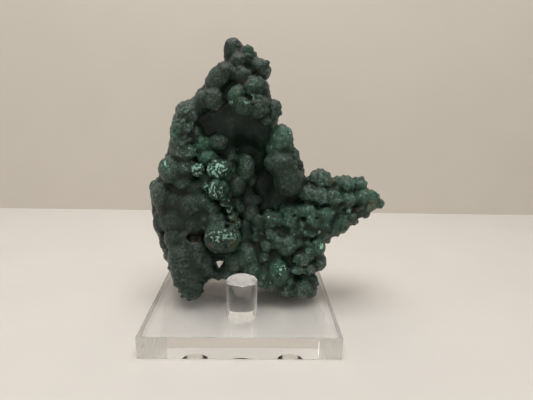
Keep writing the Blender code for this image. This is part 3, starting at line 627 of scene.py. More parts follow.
def neighbour_mean(values, pairs):
    """Mean of each vertex's neighbours."""
    one, other = pairs.T
    size = len(values)
    count = np.maximum(np.bincount(one, minlength=size) + np.bincount(other, minlength=size), 1)
    columns = values.reshape(size, -1).T
    sums = [np.bincount(one, column[other], size) + np.bincount(other, column[one], size)
            for column in columns]
    return (np.stack(sums, axis=1) / count[:, None]).reshape(values.shape)


def keep_largest_island(mesh):
    """Drop all but the largest island of a mesh."""
    pairs = edge_pairs(mesh)
    label = np.arange(len(mesh.vertices))
    while True:
        lower = label.copy()
        np.minimum.at(lower, pairs[:, 0], label[pairs[:, 1]])
        np.minimum.at(lower, pairs[:, 1], label[pairs[:, 0]])
        lower = lower[lower]
        if np.array_equal(lower, label):
            break
        label = lower
    kinds, sizes = np.unique(label, return_counts=True)
    if len(kinds) == 1:
        return
    largest = kinds[sizes.argmax()]
    form = bmesh.new()
    form.from_mesh(mesh)
    form.verts.ensure_lookup_table()
    extra = [form.verts[index] for index in np.flatnonzero(label != largest)]
    bmesh.ops.delete(form, geom=extra, context="VERTS")
    form.to_mesh(mesh)
    form.free()


def apply_modifiers(thing):
    """Give an object its evaluated mesh and drop its modifiers."""
    bpy.context.view_layer.update()
    state = thing.evaluated_get(bpy.context.evaluated_depsgraph_get())
    old = thing.data
    thing.data = bpy.data.meshes.new_from_object(state)
    thing.modifiers.clear()
    bpy.data.meshes.remove(old)


def link(thing):
    """Put an object in the scene."""
    bpy.context.scene.collection.objects.link(thing)
    return thing


# ---------------------------------------------------------------- materials

class Nodes:
    """Adds nodes to one tree and links them."""

    def __init__(self, tree):
        self.tree = tree

    def add(self, kind, inputs=None, **settings):
        """A node with its settings, its inputs given as values or as sockets to link."""
        new = self.tree.nodes.new(kind)
        for name, value in settings.items():
            setattr(new, name, value)
        for name, value in (inputs or {}).items():
            self.feed(new.inputs[name], value)
        return new

    def feed(self, socket, value):
        """Link a socket, or set its value."""
        if isinstance(value, bpy.types.NodeSocket):
            self.tree.links.new(value, socket)
        else:
            socket.default_value = value

    def maths(self, operation, first, second=0.0, third=0.0):
        """A Math node's value."""
        new = self.add("ShaderNodeMath", operation=operation)
        for socket, value in zip(new.inputs, (first, second, third)):
            self.feed(socket, value)
        return new.outputs[0]

    def times(self, first, second):
        """Two values multiplied."""
        return self.maths("MULTIPLY", first, second)

    def line(self, value, slope, start):
        """A value scaled and shifted."""
        return self.maths("MULTIPLY_ADD", value, slope, start)

    def spread(self, value, low, high, bottom=0.0, top=1.0):
        """A value mapped smoothly from one range to another."""
        new = self.add("ShaderNodeMapRange", {
            "Value": value, "From Min": low, "From Max": high, "To Min": bottom, "To Max": top,
        }, interpolation_type="SMOOTHSTEP")
        return new.outputs["Result"]

    def mix(self, factor, first, second, blend="MIX"):
        """Two colours mixed."""
        new = self.add("ShaderNodeMix", data_type="RGBA", blend_type=blend)
        for socket, value in zip((new.inputs[0], new.inputs[6], new.inputs[7]),
                                 (factor, first, second)):
            if not isinstance(value, (bpy.types.NodeSocket, float, int)):
                value = (*value[:3], 1)
            self.feed(socket, value)
        return new.outputs[2]

    def mask(self, name):
        """A vertex mask."""
        return self.add("ShaderNodeAttribute", attribute_name=name).outputs["Fac"]

    def noise(self, size, detail=3.0, roughness=0.55, stretch=None):
        """Noise with waves of a size in millimetres, from 0 to 1."""
        place = self.add("ShaderNodeTexCoord").outputs["Object"]
        if stretch:
            place = self.add("ShaderNodeMapping", {"Vector": place, "Scale": stretch}).outputs[0]
        new = self.add("ShaderNodeTexNoise", {
            "Vector": place, "Scale": 1 / (size * MM), "Detail": detail, "Roughness": roughness,
        })
        return new.outputs["Fac"]


def make_group(name, inputs, outputs):
    """An empty shader node group with float or colour sockets, and its two end nodes."""
    group = bpy.data.node_groups.new(name, "ShaderNodeTree")
    for socket, value in inputs.items():
        kind = "NodeSocketColor" if isinstance(value, tuple) else "NodeSocketFloat"
        made = group.interface.new_socket(socket, in_out="INPUT", socket_type=kind)
        made.default_value = value
    for socket, kind in outputs.items():
        group.interface.new_socket(socket, in_out="OUTPUT", socket_type=kind)
    nodes = Nodes(group)
    return group, nodes, nodes.add("NodeGroupInput").outputs, nodes.add("NodeGroupOutput").inputs


def mottle_group():
    """Cloudy change of a colour."""
    if "mottle" in bpy.data.node_groups:
        return bpy.data.node_groups["mottle"]
    group, nodes, given, result = make_group(
        "mottle",
        {"Colour": (0.5, 0.5, 0.5, 1), "Other Colour": (0.4, 0.4, 0.4, 1), "Size": 5.0},
        {"Colour": "NodeSocketColor"})
    place = nodes.add("ShaderNodeTexCoord").outputs["Object"]
    scale = nodes.maths("DIVIDE", 1000.0, given["Size"])
    noise = nodes.add("ShaderNodeTexNoise", {"Vector": place, "Scale": scale, "Detail": 4.0})
    share = nodes.spread(noise.outputs["Fac"], 0.35, 0.65)
    nodes.feed(result["Colour"], nodes.mix(share, given["Colour"], given["Other Colour"]))
    return group


def new_material(name):
    """A material with its Principled shader."""
    material = bpy.data.materials.new(name)
    material.use_nodes = True
    return material, Nodes(material.node_tree), material.node_tree.nodes["Principled BSDF"]


def malachite_material(settings):
    """Velvety deep green with mint and bright green crusts, rust and brown matrix; painted highlight on
    upward crowns, painted glints, painted shade in creases and patches, painted light in others.
    """
    material, nodes, shader = new_material("velvet_malachite")
    fine = nodes.noise(0.9, 4.0, 0.65)
    painted_top_light = nodes.mask("painted_top_light")

    mottle = nodes.add("ShaderNodeGroup", node_tree=mottle_group())
    mottle.inputs["Size"].default_value = 3.0
    mottle.inputs["Colour"].default_value = (*settings.dark_green, 1)
    mottle.inputs["Other Colour"].default_value = (*settings.deep_green, 1)
    colour = mottle.outputs["Colour"]
    patchy = nodes.spread(nodes.noise(1.6, 4.0, 0.75), 0.42, 0.6, 0.1, 1.0)
    # Painted highlight: upward-facing lump crowns turn a lighter grey-green, broken up by noise.
    colour = nodes.mix(nodes.times(painted_top_light, patchy), colour, settings.painted_highlight_green)
    fresh = nodes.add("ShaderNodeCombineColor", {"Red": 0.8, "Green": 1.12, "Blue": 0.98})
    colour = nodes.mix(nodes.mask("fresh"), colour,
                       nodes.mix(1.0, colour, fresh.outputs["Color"], "MULTIPLY"))
    # Painted glints: tiny bright specks on convex crests, stronger on upward faces, fewer in the patches
    # of painted shade.
    painted_glints = nodes.spread(nodes.noise(1.5, 3.0, 0.7), 0.53, 0.64, 0.08, 1.0)
    painted_glints = nodes.times(painted_glints, nodes.mask("crest"))
    painted_glints = nodes.times(painted_glints, nodes.line(painted_top_light, 0.45, 0.1))
    painted_glints = nodes.times(painted_glints, nodes.line(nodes.mask("painted_shade"), -0.8, 1.0))
    colour = nodes.mix(painted_glints, colour, settings.painted_glint_colour)
    green = nodes.times(nodes.mask("green"), nodes.spread(fine, 0.38, 0.62))
    colour = nodes.mix(green, colour, settings.bright_green)
    speckle = nodes.spread(nodes.noise(2.0, 3.0, 0.7), 0.5, 0.58)
    mint = nodes.mask("mint")
    colour = nodes.mix(nodes.spread(mint, 0.0, 0.4, 0.0, 0.7), colour, settings.deep_green)
    mint = nodes.times(mint, speckle)
    colour = nodes.mix(nodes.spread(mint, 0.2, 0.6), colour, settings.mint)
    rust = nodes.times(nodes.mask("rust"), nodes.spread(fine, 0.4, 0.6))
    colour = nodes.mix(nodes.spread(rust, 0.1, 0.6), colour, settings.rust)
    stone = nodes.times(nodes.mask("matrix"), nodes.spread(fine, 0.3, 0.6, 0.4, 1.0))
    colour = nodes.mix(nodes.spread(stone, 0.15, 0.6), colour, settings.matrix)
    # Painted shade: darker in creases and recesses by concavity, darker still in the painted shade
    # patches, lighter in the painted light patches.
    shade = nodes.spread(nodes.mask("cavity"), 0.0, 1.0, 1.0, 0.42)
    shade = nodes.times(shade, nodes.line(nodes.mask("painted_shade"), -0.34, 1.0))
    shade = nodes.times(shade, nodes.line(nodes.mask("painted_light"), 0.4, 1.0))
    shade = nodes.add("ShaderNodeCombineColor", {"Red": shade, "Green": shade, "Blue": shade})
    colour = nodes.mix(1.0, colour, shade.outputs["Color"], "MULTIPLY")
    nodes.feed(shader.inputs["Base Color"], colour)
    nodes.feed(shader.inputs["Roughness"], nodes.spread(fine, 0.2, 0.8, 0.28, 0.52))

    grain = nodes.noise(0.8, 3.0, 0.6, (1, 1, 0.3))
    bump = nodes.add("ShaderNodeBump", {"Height": grain, "Distance": 0.0006, "Strength": 0.8})
    nodes.feed(shader.inputs["Normal"], bump.outputs["Normal"])
    shader.inputs["Sheen Weight"].default_value = settings.sheen
    shader.inputs["Sheen Roughness"].default_value = 0.4
    shader.inputs["Sheen Tint"].default_value = (0.6, 0.75, 0.68, 1)
    shader.inputs["Specular IOR Level"].default_value = 0.35
    return material


def acrylic_material(settings):
    """Clear polished cast acrylic with faint wear."""
    material, nodes, shader = new_material("polished_acrylic")
    wear = nodes.noise(9.0, 4.0, 0.6, (1, 6, 1))
    dull = nodes.spread(wear, 0.45, 0.75, 0.0, settings.wear)
    dull = nodes.maths("MAXIMUM", dull, nodes.times(nodes.mask("sawn"), settings.sawn))
    nodes.feed(shader.inputs["Roughness"], dull)
    shader.inputs["Base Color"].default_value = (*settings.tint, 1)
    shader.inputs["Transmission Weight"].default_value = 1
    shader.inputs["IOR"].default_value = settings.ior
    return material


def board_material(name, colour, seen_through=False):
    """Matt painted board, optionally clear from behind."""
    material, nodes, shader = new_material(name)
    mottle = nodes.add("ShaderNodeGroup", node_tree=mottle_group())
    mottle.inputs["Size"].default_value = 60.0
    mottle.inputs["Colour"].default_value = (*colour, 1)
    mottle.inputs["Other Colour"].default_value = (*(CLOUD_SHARE * part for part in colour), 1)
    nodes.feed(shader.inputs["Base Color"], mottle.outputs["Colour"])
    shader.inputs["Roughness"].default_value = 0.6
    if seen_through:
        back = nodes.add("ShaderNodeNewGeometry").outputs["Backfacing"]
        clear = nodes.add("ShaderNodeBsdfTransparent")
        both = nodes.add("ShaderNodeMixShader", {0: back, 1: shader.outputs[0], 2: clear.outputs[0]})
        surface = material.node_tree.nodes["Material Output"].inputs["Surface"]
        nodes.feed(surface, both.outputs[0])
    return material


# ---------------------------------------------------------------- pieces

def pegs_in_mm():
    """Axis, radius and top of each peg."""
    for node in PEG_NODES:
        low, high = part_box(node)
        middle = (low + high) / 2 / MM
        yield middle.x, middle.y, (high.x - low.x) / 2 / MM, high.z / MM


def press_off_stand(points, gap):
    """Move points out of the slab and the pegs."""
    points[:, 2] = np.maximum(points[:, 2], FLOOR)
    for x, y, radius, top in pegs_in_mm():
        away = points[:, :2] - (x, y)
        distance = np.maximum(np.linalg.norm(away, axis=1), 1e-6)
        near = (points[:, 2] < top + 1) & (distance < radius + gap)
        points[near, :2] = (x, y) + away[near] * ((radius + gap) / distance[near])[:, None]
    return points


def slit_cutter():
    """A long thin wedge along the sight line through the slit."""
    near, far = ([sight(x, z, depth)[0] for x, z in SLIT_OUTLINE] for depth in SLIT_REACH)
    count = len(SLIT_OUTLINE)
    sides = [(side, (side + 1) % count, (side + 1) % count + count, side + count)
             for side in range(count)]
    faces = [*sides, tuple(range(count))[::-1], tuple(range(count, 2 * count))]
    cutter = link(bpy.data.objects.new("slit_cutter", mesh_from("slit_cutter", near + far, faces)))
    cutter.hide_render = True
    return cutter


def calmness(points):
    """How much the forms are evened out, from 0 to 1."""
    share = np.zeros(len(points))
    for *zone, least_depth, strength in CALM_ZONES:
        within = smooth(zone_strength(points, *zone) * 2.5)
        share = np.maximum(share, strength * within * smooth((points[:, 1] - least_depth) / 4))
    return share * (1 - behind(points))


def even_out(points, pairs, share, rounds):
    """Draw points to the middle of their neighbours, by their share."""
    inside = np.flatnonzero(share > 0.01)
    place = np.full(len(points), -1)
    place[inside] = np.arange(len(inside))
    local = place[pairs]
    local = local[(local >= 0).all(1)]
    held = points[inside]
    for _ in range(rounds):
        held = held + (neighbour_mean(held, local) - held) * share[inside, None]
    points[inside] = held
    return points


def ribs(points, lumps):
    """Ribs that fan out over each lump from the middle of its face, from -1 to 1."""
    chance = np.random.default_rng(RIB_SEED)
    nearest = np.full(len(points), 9.0)
    pattern = np.zeros((len(points), 3))
    fade = np.zeros(len(points))
    for number, near, local in around(points, lumps, 1.4):
        lean = chance.uniform(-0.6, 0.6, 2)
        size = float(lumps[1][number].mean())
        if size < RIB_MIN_LUMP:
            continue
        away = np.linalg.norm(local, axis=1)
        closer = away < nearest[near]
        near, local, away = near[closer], local[closer], away[closer]
        nearest[near] = away
        back = lumps[0][number, 1] > MIDDLE_DEPTH + 4
        axis = np.array((lean[0], 1.0 if back else -1.0, 0.3 + lean[1]))
        axis /= np.linalg.norm(axis)
        side = np.cross(axis, (0, 0, 1))
        side /= np.linalg.norm(side)
        up = np.cross(side, axis)
        local = local / np.maximum(away, 1e-6)[:, None]
        flat = np.stack((local @ side, local @ up), axis=1)
        spread = np.linalg.norm(flat, axis=1)
        rim = flat / np.maximum(spread, 1e-6)[:, None] * size / RIB_WIDTH
        turn = np.arccos(np.clip(local @ axis, -1, 1))
        pattern[near] = np.column_stack((rim, turn + 9 * number))
        fade[near] = np.sqrt(np.clip(spread, 0, 1))
    return value_noise(pattern, 1, 51) * fade


def fine_relief(points, lumps):
    """Heights of the fine relief, in millimetres along the normals."""
    rough = np.zeros(len(points))
    for *zone, _, _, cover in KNOB_ZONES:
        rough = np.maximum(rough, np.minimum(1, zone_strength(points, *zone) * 3) * cover)
    back = behind(points)
    rough = rough * (1 - back) + BACK_ROUGHNESS * back
    plain = 1 - calmness(points)
    height = sum(tall * value_noise(points, size, seed) for tall, size, seed in SWELLS)
    height += (DOME_HEIGHT[0] + DOME_HEIGHT[1] * rough) * (cell_domes(points, DOME_SIZE, 3) - 0.5)
    height += (GRAIN_HEIGHT[0] + GRAIN_HEIGHT[1] * rough) * value_noise(points, GRAIN_SIZE, 7)
    height += RIB_HEIGHT * ribs(points, lumps)
    height *= CALM_RELIEF + (1 - CALM_RELIEF) * plain

    leg = smooth(zone_strength(points, *LEG_ZONE) * 3) * (1 - back)
    across, up = read_on(points, LEG_ZONE[2])
    wave = up - 0.35 * across + 1.4 * value_noise(points, 5, 9)
    wave = np.sin(wave * 2 * math.pi / LEG_BAND_WIDTH)
    height += leg * LEG_BAND_HEIGHT * wave * (0.6 + value_noise(points, 4, 10))
    height += leg * LEG_GRAIN_HEIGHT * value_noise(points, GRAIN_SIZE, 11)
    across, up = read_on(points, 0)
    rings = np.hypot(across - RINGED[0], up - RINGED[1])
    waves = np.cos(rings * 2 * math.pi / RING_WIDTH)
    height += RING_HEIGHT * (rings < RINGED[2]) * (1 - back) * waves
    return height


def press_pits(points, outward):
    """Push the pits in along the sight line."""
    facing = np.clip(-outward[:, 1] * 2, 0, 1) * (1 - behind(points))
    direction = points - EYE
    direction /= np.linalg.norm(direction, axis=1, keepdims=True)
    for *zone, depth in PITS:
        strength = smooth(zone_strength(points, *zone) * PIT_SHARPNESS)
        points += direction * (depth * strength * facing)[:, None]
    return points


def paint_masks(mesh):
    """Store the masks that the material reads."""
    points = coordinates(mesh)
    outward = normals(mesh)
    pairs = edge_pairs(mesh)
    bend = ((neighbour_mean(points, pairs) - points) * outward).sum(1)
    fine = neighbour_mean(bend, pairs)
    cavity = neighbour_mean(neighbour_mean(fine, pairs), pairs)
    wide = cavity
    for _ in range(WIDE_ROUNDS):
        wide = neighbour_mean(wide, pairs)
    # Concavity carries painted shade in creases and recesses; crest places painted glints; the
    # upward-facing mask carries the painted highlight.
    masks = {
        "cavity": smooth(fine * 8 + cavity * 10 + wide * 20) * (1 - 0.9 * calmness(points)),
        "crest": smooth(-fine * 9 - cavity * 6),
        "painted_top_light": smooth(0.25 - wide * 22 - cavity * 8 + np.clip(outward[:, 2], -0.4, 1) * 0.6),
    }
    front = 1 - behind(points)
    jitter = 0.35 * value_noise(points, 1.4, 21) + 0.25 * value_noise(points, 3.5, 22)
    # Real stains, and the patches of painted shade and painted light, as masks.
    for name, spots in STAINS_AND_PAINTED_LIGHT.items():
        mask = np.zeros(len(points))
        for x, z, plane, half_width, half_height, strength in spots:
            room = zone_strength(points, x, z, plane, half_width * 1.6, half_height * 1.6)
            mask = np.maximum(mask, strength * smooth(room * 1.9 + jitter * (room > 0)))
        masks[name] = mask * front
    patches = value_noise(points, 16, 31) + 0.5 * value_noise(points, 6, 32)
    masks["green"] = np.maximum(masks["green"], (1 - front) * 0.6 * smooth((patches - 0.3) * 3))
    masks["matrix"] = np.maximum(masks["matrix"], (1 - front) * smooth((-patches - 0.45) * 3))
    for name, mask in masks.items():
        stored = mesh.attributes.new(name, "FLOAT", "POINT")
        stored.data.foreach_set("value", mask.astype(np.float32))


def fuse_at(thing, voxel):
    """Fuse overlapping closed forms into one skin and keep its largest island."""
    fuse = thing.modifiers.new("fuse", "REMESH")
    fuse.mode = "VOXEL"
    fuse.voxel_size = voxel / MM
    apply_modifiers(thing)
    keep_largest_island(thing.data)


def build_specimen(settings):
    """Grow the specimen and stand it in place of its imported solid."""
    lumps = lump_arrays([*front_lumps(), *core_lumps(), *back_lumps()])
    body = mesh_from("body", *balls(*lumps, LUMP_FINENESS))
    specimen = link(bpy.data.objects.new("malachite_crust", body))
    fuse_at(specimen, FIRST_VOXELS * settings.voxel)
    mesh = specimen.data
    points = coordinates(mesh)
    pairs = edge_pairs(mesh)
    points = even_out(points, pairs, np.full(len(points), SOFTEN_SHARE), settings.first_rounds)
    set_coordinates(mesh, even_out(points, pairs, calmness(points), settings.calm_rounds))
    form = bmesh.new()
    form.from_mesh(mesh)
    form.from_mesh(mesh_from("knobs", *balls(*knob_arrays(lumps), KNOB_FINENESS)))
    form.to_mesh(mesh)
    form.free()
    fuse_at(specimen, settings.voxel)

    mesh = specimen.data
    points = coordinates(mesh)
    points = even_out(points, edge_pairs(mesh), np.full(len(points), SOFTEN_SHARE), LAST_ROUNDS)
    set_coordinates(mesh, points)
    outward = normals(mesh)
    points += outward * fine_relief(points, lumps)[:, None]
    set_coordinates(mesh, press_pits(points, outward))
    slit = specimen.modifiers.new("slit", "BOOLEAN")
    slit.operation = "DIFFERENCE"
    slit.solver = "EXACT"
    cutter = slit_cutter()
    slit.object = cutter
    apply_modifiers(specimen)
    bpy.data.objects.remove(cutter)
    keep_largest_island(specimen.data)

    mesh = specimen.data
    points = coordinates(mesh)
    triangles = sum(len(face.vertices) - 2 for face in mesh.polygons)
    thin = specimen.modifiers.new("fewer faces", "DECIMATE")
    thin.ratio = min(1, settings.face_limit / triangles)
    spare = specimen.vertex_groups.new(name="spare")
    share = np.round(behind(points) * (THINNING_STEPS - 1))
    for step in range(THINNING_STEPS):
        weight = (1 + step) / THINNING_STEPS
        spare.add(np.flatnonzero(share == step).tolist(), weight, "REPLACE")
    thin.vertex_group = spare.name
    thin.vertex_group_factor = settings.back_thinning
    apply_modifiers(specimen)
    mesh = specimen.data
    set_coordinates(mesh, press_off_stand(coordinates(mesh), PEG_GAP))
    paint_masks(mesh)
    mesh.transform(Matrix.Scale(MM, 4))
    mesh.shade_smooth()
    mesh.name = "malachite_crust"
    mesh.materials.clear()
    mesh.materials.append(malachite_material(settings))
    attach(specimen, "root")
    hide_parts("malachite")
    return specimen


def lathe(name, profile, x, y, sides):
    """A closed turned solid; profile runs up the outside as (radius, height)."""
    form = bmesh.new()
    rings = []
    for radius, height in profile:
        rings.append([
            form.verts.new((x + radius * math.cos(turn), y + radius * math.sin(turn), height))
            for turn in (2 * math.pi * step / sides for step in range(sides))
        ])
    for lower, upper in zip(rings, rings[1:]):
        for step in range(sides):
            after = (step + 1) % sides
            form.faces.new((lower[step], lower[after], upper[after], upper[step]))
    form.faces.new(reversed(rings[0]))
    form.faces.new(rings[-1])
    mesh = bpy.data.meshes.new(name)
    form.to_mesh(mesh)
    form.free()
    return link(bpy.data.objects.new(name, mesh))


def build_stand(settings):
    """One clear piece: the slab with its pegs bonded on."""
    edge = settings.slab_edge
    form = bmesh.new()
    size = SLAB_HIGH - SLAB_LOW
    middle = Matrix.Translation((SLAB_LOW + SLAB_HIGH) / 2)
    bmesh.ops.create_cube(form, size=1, matrix=middle @ Matrix.Diagonal((*size, 1)))
    bmesh.ops.bevel(form, geom=list(form.edges), offset=edge, segments=1, affect="EDGES")
    mesh = bpy.data.meshes.new("clear_stand")
    form.to_mesh(mesh)
    form.free()
    stand = link(bpy.data.objects.new("clear_stand", mesh))
    top = SLAB_HIGH.z
    pegs = []
    for node in PEG_NODES:
        low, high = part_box(node)
        radius = (high.x - low.x) / 2
        rim = settings.peg_edge
        profile = [(radius, top - rim), (radius, high.z - rim), (radius - 0.3 * rim, high.z - 0.3 * rim),
                   (radius - rim, high.z)]
        centre = (low + high) / 2
        pegs.append(lathe(node + "_rod", profile, centre.x, centre.y, PEG_SIDES))
        join = stand.modifiers.new("bond", "BOOLEAN")
        join.operation = "UNION"
        join.solver = "EXACT"
        join.object = pegs[-1]
    apply_modifiers(stand)
    for peg in pegs:
        bpy.data.objects.remove(peg)
    stand.data.name = "clear_stand"
    sawn = stand.data.attributes.new("sawn", "FLOAT", "FACE")
    sawn.data.foreach_set("value", [
        float(abs(face.normal.x) > 0.9 and abs(face.center.x) > 0.99 * SLAB_HIGH.x)
        for face in stand.data.polygons])
    stand.data.shade_smooth()
    stand.data.set_sharp_from_angle(angle=math.radians(12))
    stand.data.materials.clear()
    stand.data.materials.append(acrylic_material(settings))
    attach(stand, "root")
    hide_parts("acrylic_base", *PEG_NODES)
    return stand


# ---------------------------------------------------------------- stage

def add_sheet(name, corners, material):
    """A flat stage sheet of four corners."""
    mesh = mesh_from(name, corners, [(0, 1, 2, 3)])
    mesh.materials.append(material)
    sheet = link(bpy.data.objects.new(name, mesh))
    sheet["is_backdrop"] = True
    return sheet


def add_camera():
    """The camera, at the eye of the elevation."""
    pitch, roll, yaw = (math.radians(a) for a in (CAMERA_PITCH, CAMERA_ROLL, CAMERA_YAW))
    turn = Matrix.Rotation(yaw, 3, "Z")
    forward = turn @ Vector((0, math.cos(pitch), -math.sin(pitch)))
    level = turn @ Vector((1, 0, 0))
    raised = level.cross(forward)
    right = level * math.cos(roll) + raised * math.sin(roll)
    up = raised * math.cos(roll) - level * math.sin(roll)
    camera = link(bpy.data.objects.new("camera", bpy.data.cameras.new("camera")))
    place = Matrix((right, up, -forward)).transposed().to_4x4()
    place.translation = Vector(EYE) * MM
    camera.matrix_world = place
    camera.data.sensor_width = SENSOR
    camera.data.lens = FOCAL_SHARE * SENSOR
    camera.data.clip_start = 0.01
    bpy.context.scene.camera = camera


def add_light(name, place, target, width, height, power, colour):
    """A rectangular soft light."""
    data = bpy.data.lights.new(name, "AREA")
    data.shape = "RECTANGLE"
    data.size = width
    data.size_y = height
    data.energy = power
    data.color = colour
    lamp = link(bpy.data.objects.new(name, data))
    lamp.location = place
    lamp.rotation_euler = (Vector(target) - Vector(place)).to_track_quat("-Z", "Y").to_euler()


def build_stage(settings):
    """Table, wall, soft light and camera."""
    near, far, wide = -1.5, settings.wall_distance, 1.5
    lean = math.tan(settings.wall_turn) * wide
    table = board_material("pale_table", settings.table_colour)
    wall = board_material("pale_wall", settings.wall_colour, True)
    low = -settings.air_gap
    add_sheet("table", [(-wide, near, low), (wide, near, low), (wide, far + lean, low),
                        (-wide, far - lean, low)], table)
    add_sheet("wall", [(-wide, far - lean, low), (wide, far + lean, low),
                       (wide, far + lean, WALL_HEIGHT), (-wide, far - lean, WALL_HEIGHT)], wall)
    add_light("overhead", (0.0, -0.1, 0.8), (-0.02, 0, 0.05), 0.5, 0.42,
              settings.overhead_power, (1, 0.97, 0.93))
    add_light("side", (-1.1, -0.1, 0.8), (0, 0, 0.05), 0.4, 0.4, settings.side_power,
              (1, 0.98, 0.95))
    world = bpy.data.worlds.new("soft_room")
    world.use_nodes = True
    background = world.node_tree.nodes["Background"]
    background.inputs["Color"].default_value = (*settings.room_colour, 1)
    background.inputs["Strength"].default_value = settings.room_strength
    scene = bpy.context.scene
    scene.world = world
    scene.view_settings.view_transform = "Standard"
    scene.cycles.blur_glossy = 0.1
    scene.cycles.glossy_bounces = settings.bounces
    scene.cycles.transmission_bounces = settings.bounces
    scene.cycles.max_bounces = settings.bounces
    add_camera()


# ---------------------------------------------------------------- settings, operators, panel

def colour_property(name, description, default):
    """A colour setting."""
    return FloatVectorProperty(name=name, description=description, default=default,
                               subtype="COLOR", min=0, max=1)


class MalachiteSettings(bpy.types.PropertyGroup):
    """How the specimen is grown and coloured."""
    voxel: FloatProperty(
        name="Voxel", description="Finest step of the grown surface", default=0.5 * MM,
        min=0.3 * MM, max=2 * MM, precision=5, subtype="DISTANCE", unit="LENGTH")
    face_limit: IntProperty(
        name="Triangles", description="Most triangles that the specimen keeps", default=196000,
        min=20000, max=199000)
    first_rounds: IntProperty(
        name="Soften", description="Rounds of evening out all over", default=2, min=0, max=100)
    calm_rounds: IntProperty(
        name="Calm", description="Rounds of evening out in the calm places", default=30, min=0,
        max=300)
    back_thinning: FloatProperty(
        name="Back Thinning", description="How much sooner the back loses faces than the front",
        default=0.01, min=0, max=10)
    sheen: FloatProperty(
        name="Velvet", description="Sheen of the fine fibres", default=0.06, min=0, max=1,
        subtype="FACTOR")
    dark_green: colour_property("Dark Green", "Main colour of the crust", (0.009, 0.024, 0.017))
    deep_green: colour_property("Deep Green", "Darker clouds in it", (0.005, 0.014, 0.01))
    # Painted highlight: the lighter colour given to upward-facing lump crowns, standing in for light from
    # above.
    painted_highlight_green: colour_property("Grey Green", "Dusty colour of lit tops", (0.045, 0.074, 0.058))
    # Painted glint: colour of tiny bright specks that stand in for glints.
    painted_glint_colour: colour_property("Fleck", "Tiny pale crystals", (0.24, 0.35, 0.29))
    bright_green: colour_property("Bright Green", "Fresh green patches", (0.025, 0.12, 0.07))
    mint: colour_property("Mint", "Pale bruised crust", (0.3, 0.56, 0.43))
    rust: colour_property("Rust", "Iron stains", (0.14, 0.065, 0.026))
    matrix: colour_property("Matrix", "Rock that shows through", (0.12, 0.11, 0.056))


class StandSettings(bpy.types.PropertyGroup):
    """How the clear stand is finished."""
    slab_edge: FloatProperty(
        name="Slab Edge", description="Width of the slab's broken edges", default=0.15 * MM,
        min=0, max=2 * MM, precision=5, subtype="DISTANCE", unit="LENGTH")
    peg_edge: FloatProperty(
        name="Peg Edge", description="Width of the pegs' broken edges", default=0.4 * MM,
        min=0, max=2 * MM, precision=5, subtype="DISTANCE", unit="LENGTH")
    tint: colour_property("Tint", "Colour of the clear acrylic", (0.985, 0.992, 0.99))
    ior: FloatProperty(
        name="IOR", description="Index of refraction", default=1.49, min=1, max=2)
    sawn: FloatProperty(
        name="Sawn Sides", description="Roughness of the slab's two sawn sides", default=0.35,
        min=0, max=1, subtype="FACTOR")
    wear: FloatProperty(
        name="Wear", description="Roughness where the polish has dulled", default=0.06, min=0,
        max=0.5, subtype="FACTOR")


class StageSettings(bpy.types.PropertyGroup):
    """Table, wall and light."""
    wall_distance: FloatProperty(
        name="Wall Distance", description="From the stand's middle to the wall",
        default=0.2072, min=0.1, max=3, subtype="DISTANCE", unit="LENGTH")
    wall_turn: FloatProperty(
        name="Wall Turn", description="How far the wall is off square", default=0.0096,
        min=-0.5, max=0.5, subtype="ANGLE", unit="ROTATION")
    air_gap: FloatProperty(
        name="Air Gap", description="Between the clear slab and the table top", default=0.1 * MM,
        min=0, max=1 * MM, precision=5, subtype="DISTANCE", unit="LENGTH")
    table_colour: colour_property("Table", "Pale table top", (0.7, 0.672, 0.638))
    wall_colour: colour_property("Wall", "Pale warm wall", (0.7, 0.648, 0.58))
    room_colour: colour_property("Room", "Light that comes from all round", (1, 0.97, 0.93))
    room_strength: FloatProperty(
        name="Room Light", description="Strength of the light from all round", default=0.46,
        min=0, max=5)
    overhead_power: FloatProperty(
        name="Overhead", description="Power of the overhead light", default=4.05, min=0, max=200,
        subtype="POWER", unit="POWER")
    bounces: IntProperty(
        name="Bounces", description="Most times light turns inside the clear slab", default=24,
        min=4, max=64)
    side_power: FloatProperty(
        name="Side", description="Power of the light from the left", default=1.2, min=0,
        max=200, subtype="POWER", unit="POWER")


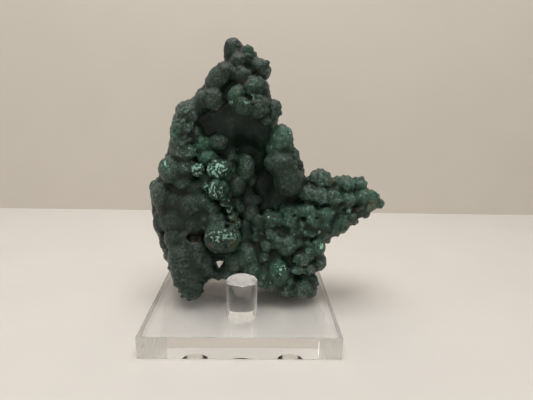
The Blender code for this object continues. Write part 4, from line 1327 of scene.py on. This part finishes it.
class MALACHITE_OT_specimen(bpy.types.Operator):
    """Grow the malachite crust and stand it in place of its plain solid"""
    bl_idname = "malachite.specimen"
    bl_label = "Grow Specimen"

    def execute(self, context):
        build_specimen(context.scene.malachite)
        return {"FINISHED"}


class MALACHITE_OT_stand(bpy.types.Operator):
    """Make the clear slab with its bonded pegs"""
    bl_idname = "malachite.stand"
    bl_label = "Make Clear Stand"

    def execute(self, context):
        build_stand(context.scene.malachite_stand)
        return {"FINISHED"}


class MALACHITE_OT_stage(bpy.types.Operator):
    """Set up the table, wall, light and camera"""
    bl_idname = "malachite.stage"
    bl_label = "Set Stage"

    def execute(self, context):
        build_stage(context.scene.malachite_stage)
        return {"FINISHED"}


class MALACHITE_PT_sidebar(bpy.types.Panel):
    """Settings and steps of the malachite specimen"""
    bl_idname = "MALACHITE_PT_sidebar"
    bl_label = "Malachite Specimen"
    bl_space_type = "VIEW_3D"
    bl_region_type = "UI"
    bl_category = "Malachite"

    def draw(self, context):
        for group, operator in (("malachite_stage", "malachite.stage"),
                                ("malachite_stand", "malachite.stand"),
                                ("malachite", "malachite.specimen")):
            box = self.layout.box()
            settings = getattr(context.scene, group)
            for name in settings.__annotations__:
                box.prop(settings, name)
            box.operator(operator)


CLASSES = (MalachiteSettings, StandSettings, StageSettings, MALACHITE_OT_specimen,
           MALACHITE_OT_stand, MALACHITE_OT_stage, MALACHITE_PT_sidebar)


def register():
    """Register the classes and hang the settings on the scene."""
    for kind in CLASSES:
        bpy.utils.register_class(kind)
    bpy.types.Scene.malachite = PointerProperty(type=MalachiteSettings)
    bpy.types.Scene.malachite_stand = PointerProperty(type=StandSettings)
    bpy.types.Scene.malachite_stage = PointerProperty(type=StageSettings)


def unregister():
    """Undo what register did."""
    del bpy.types.Scene.malachite_stage
    del bpy.types.Scene.malachite_stand
    del bpy.types.Scene.malachite
    for kind in reversed(CLASSES):
        bpy.utils.unregister_class(kind)


def main():
    """Build everything in order and work out the two boxes."""
    register()
    bpy.ops.malachite.stage()
    bpy.ops.malachite.stand()
    bpy.ops.malachite.specimen()
    boxes = {"cad": CAD_BOX, "visual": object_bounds()}
    {name: [list(corner) for corner in box] for name, box in boxes.items()}


if __name__ == "__main__":
    main()
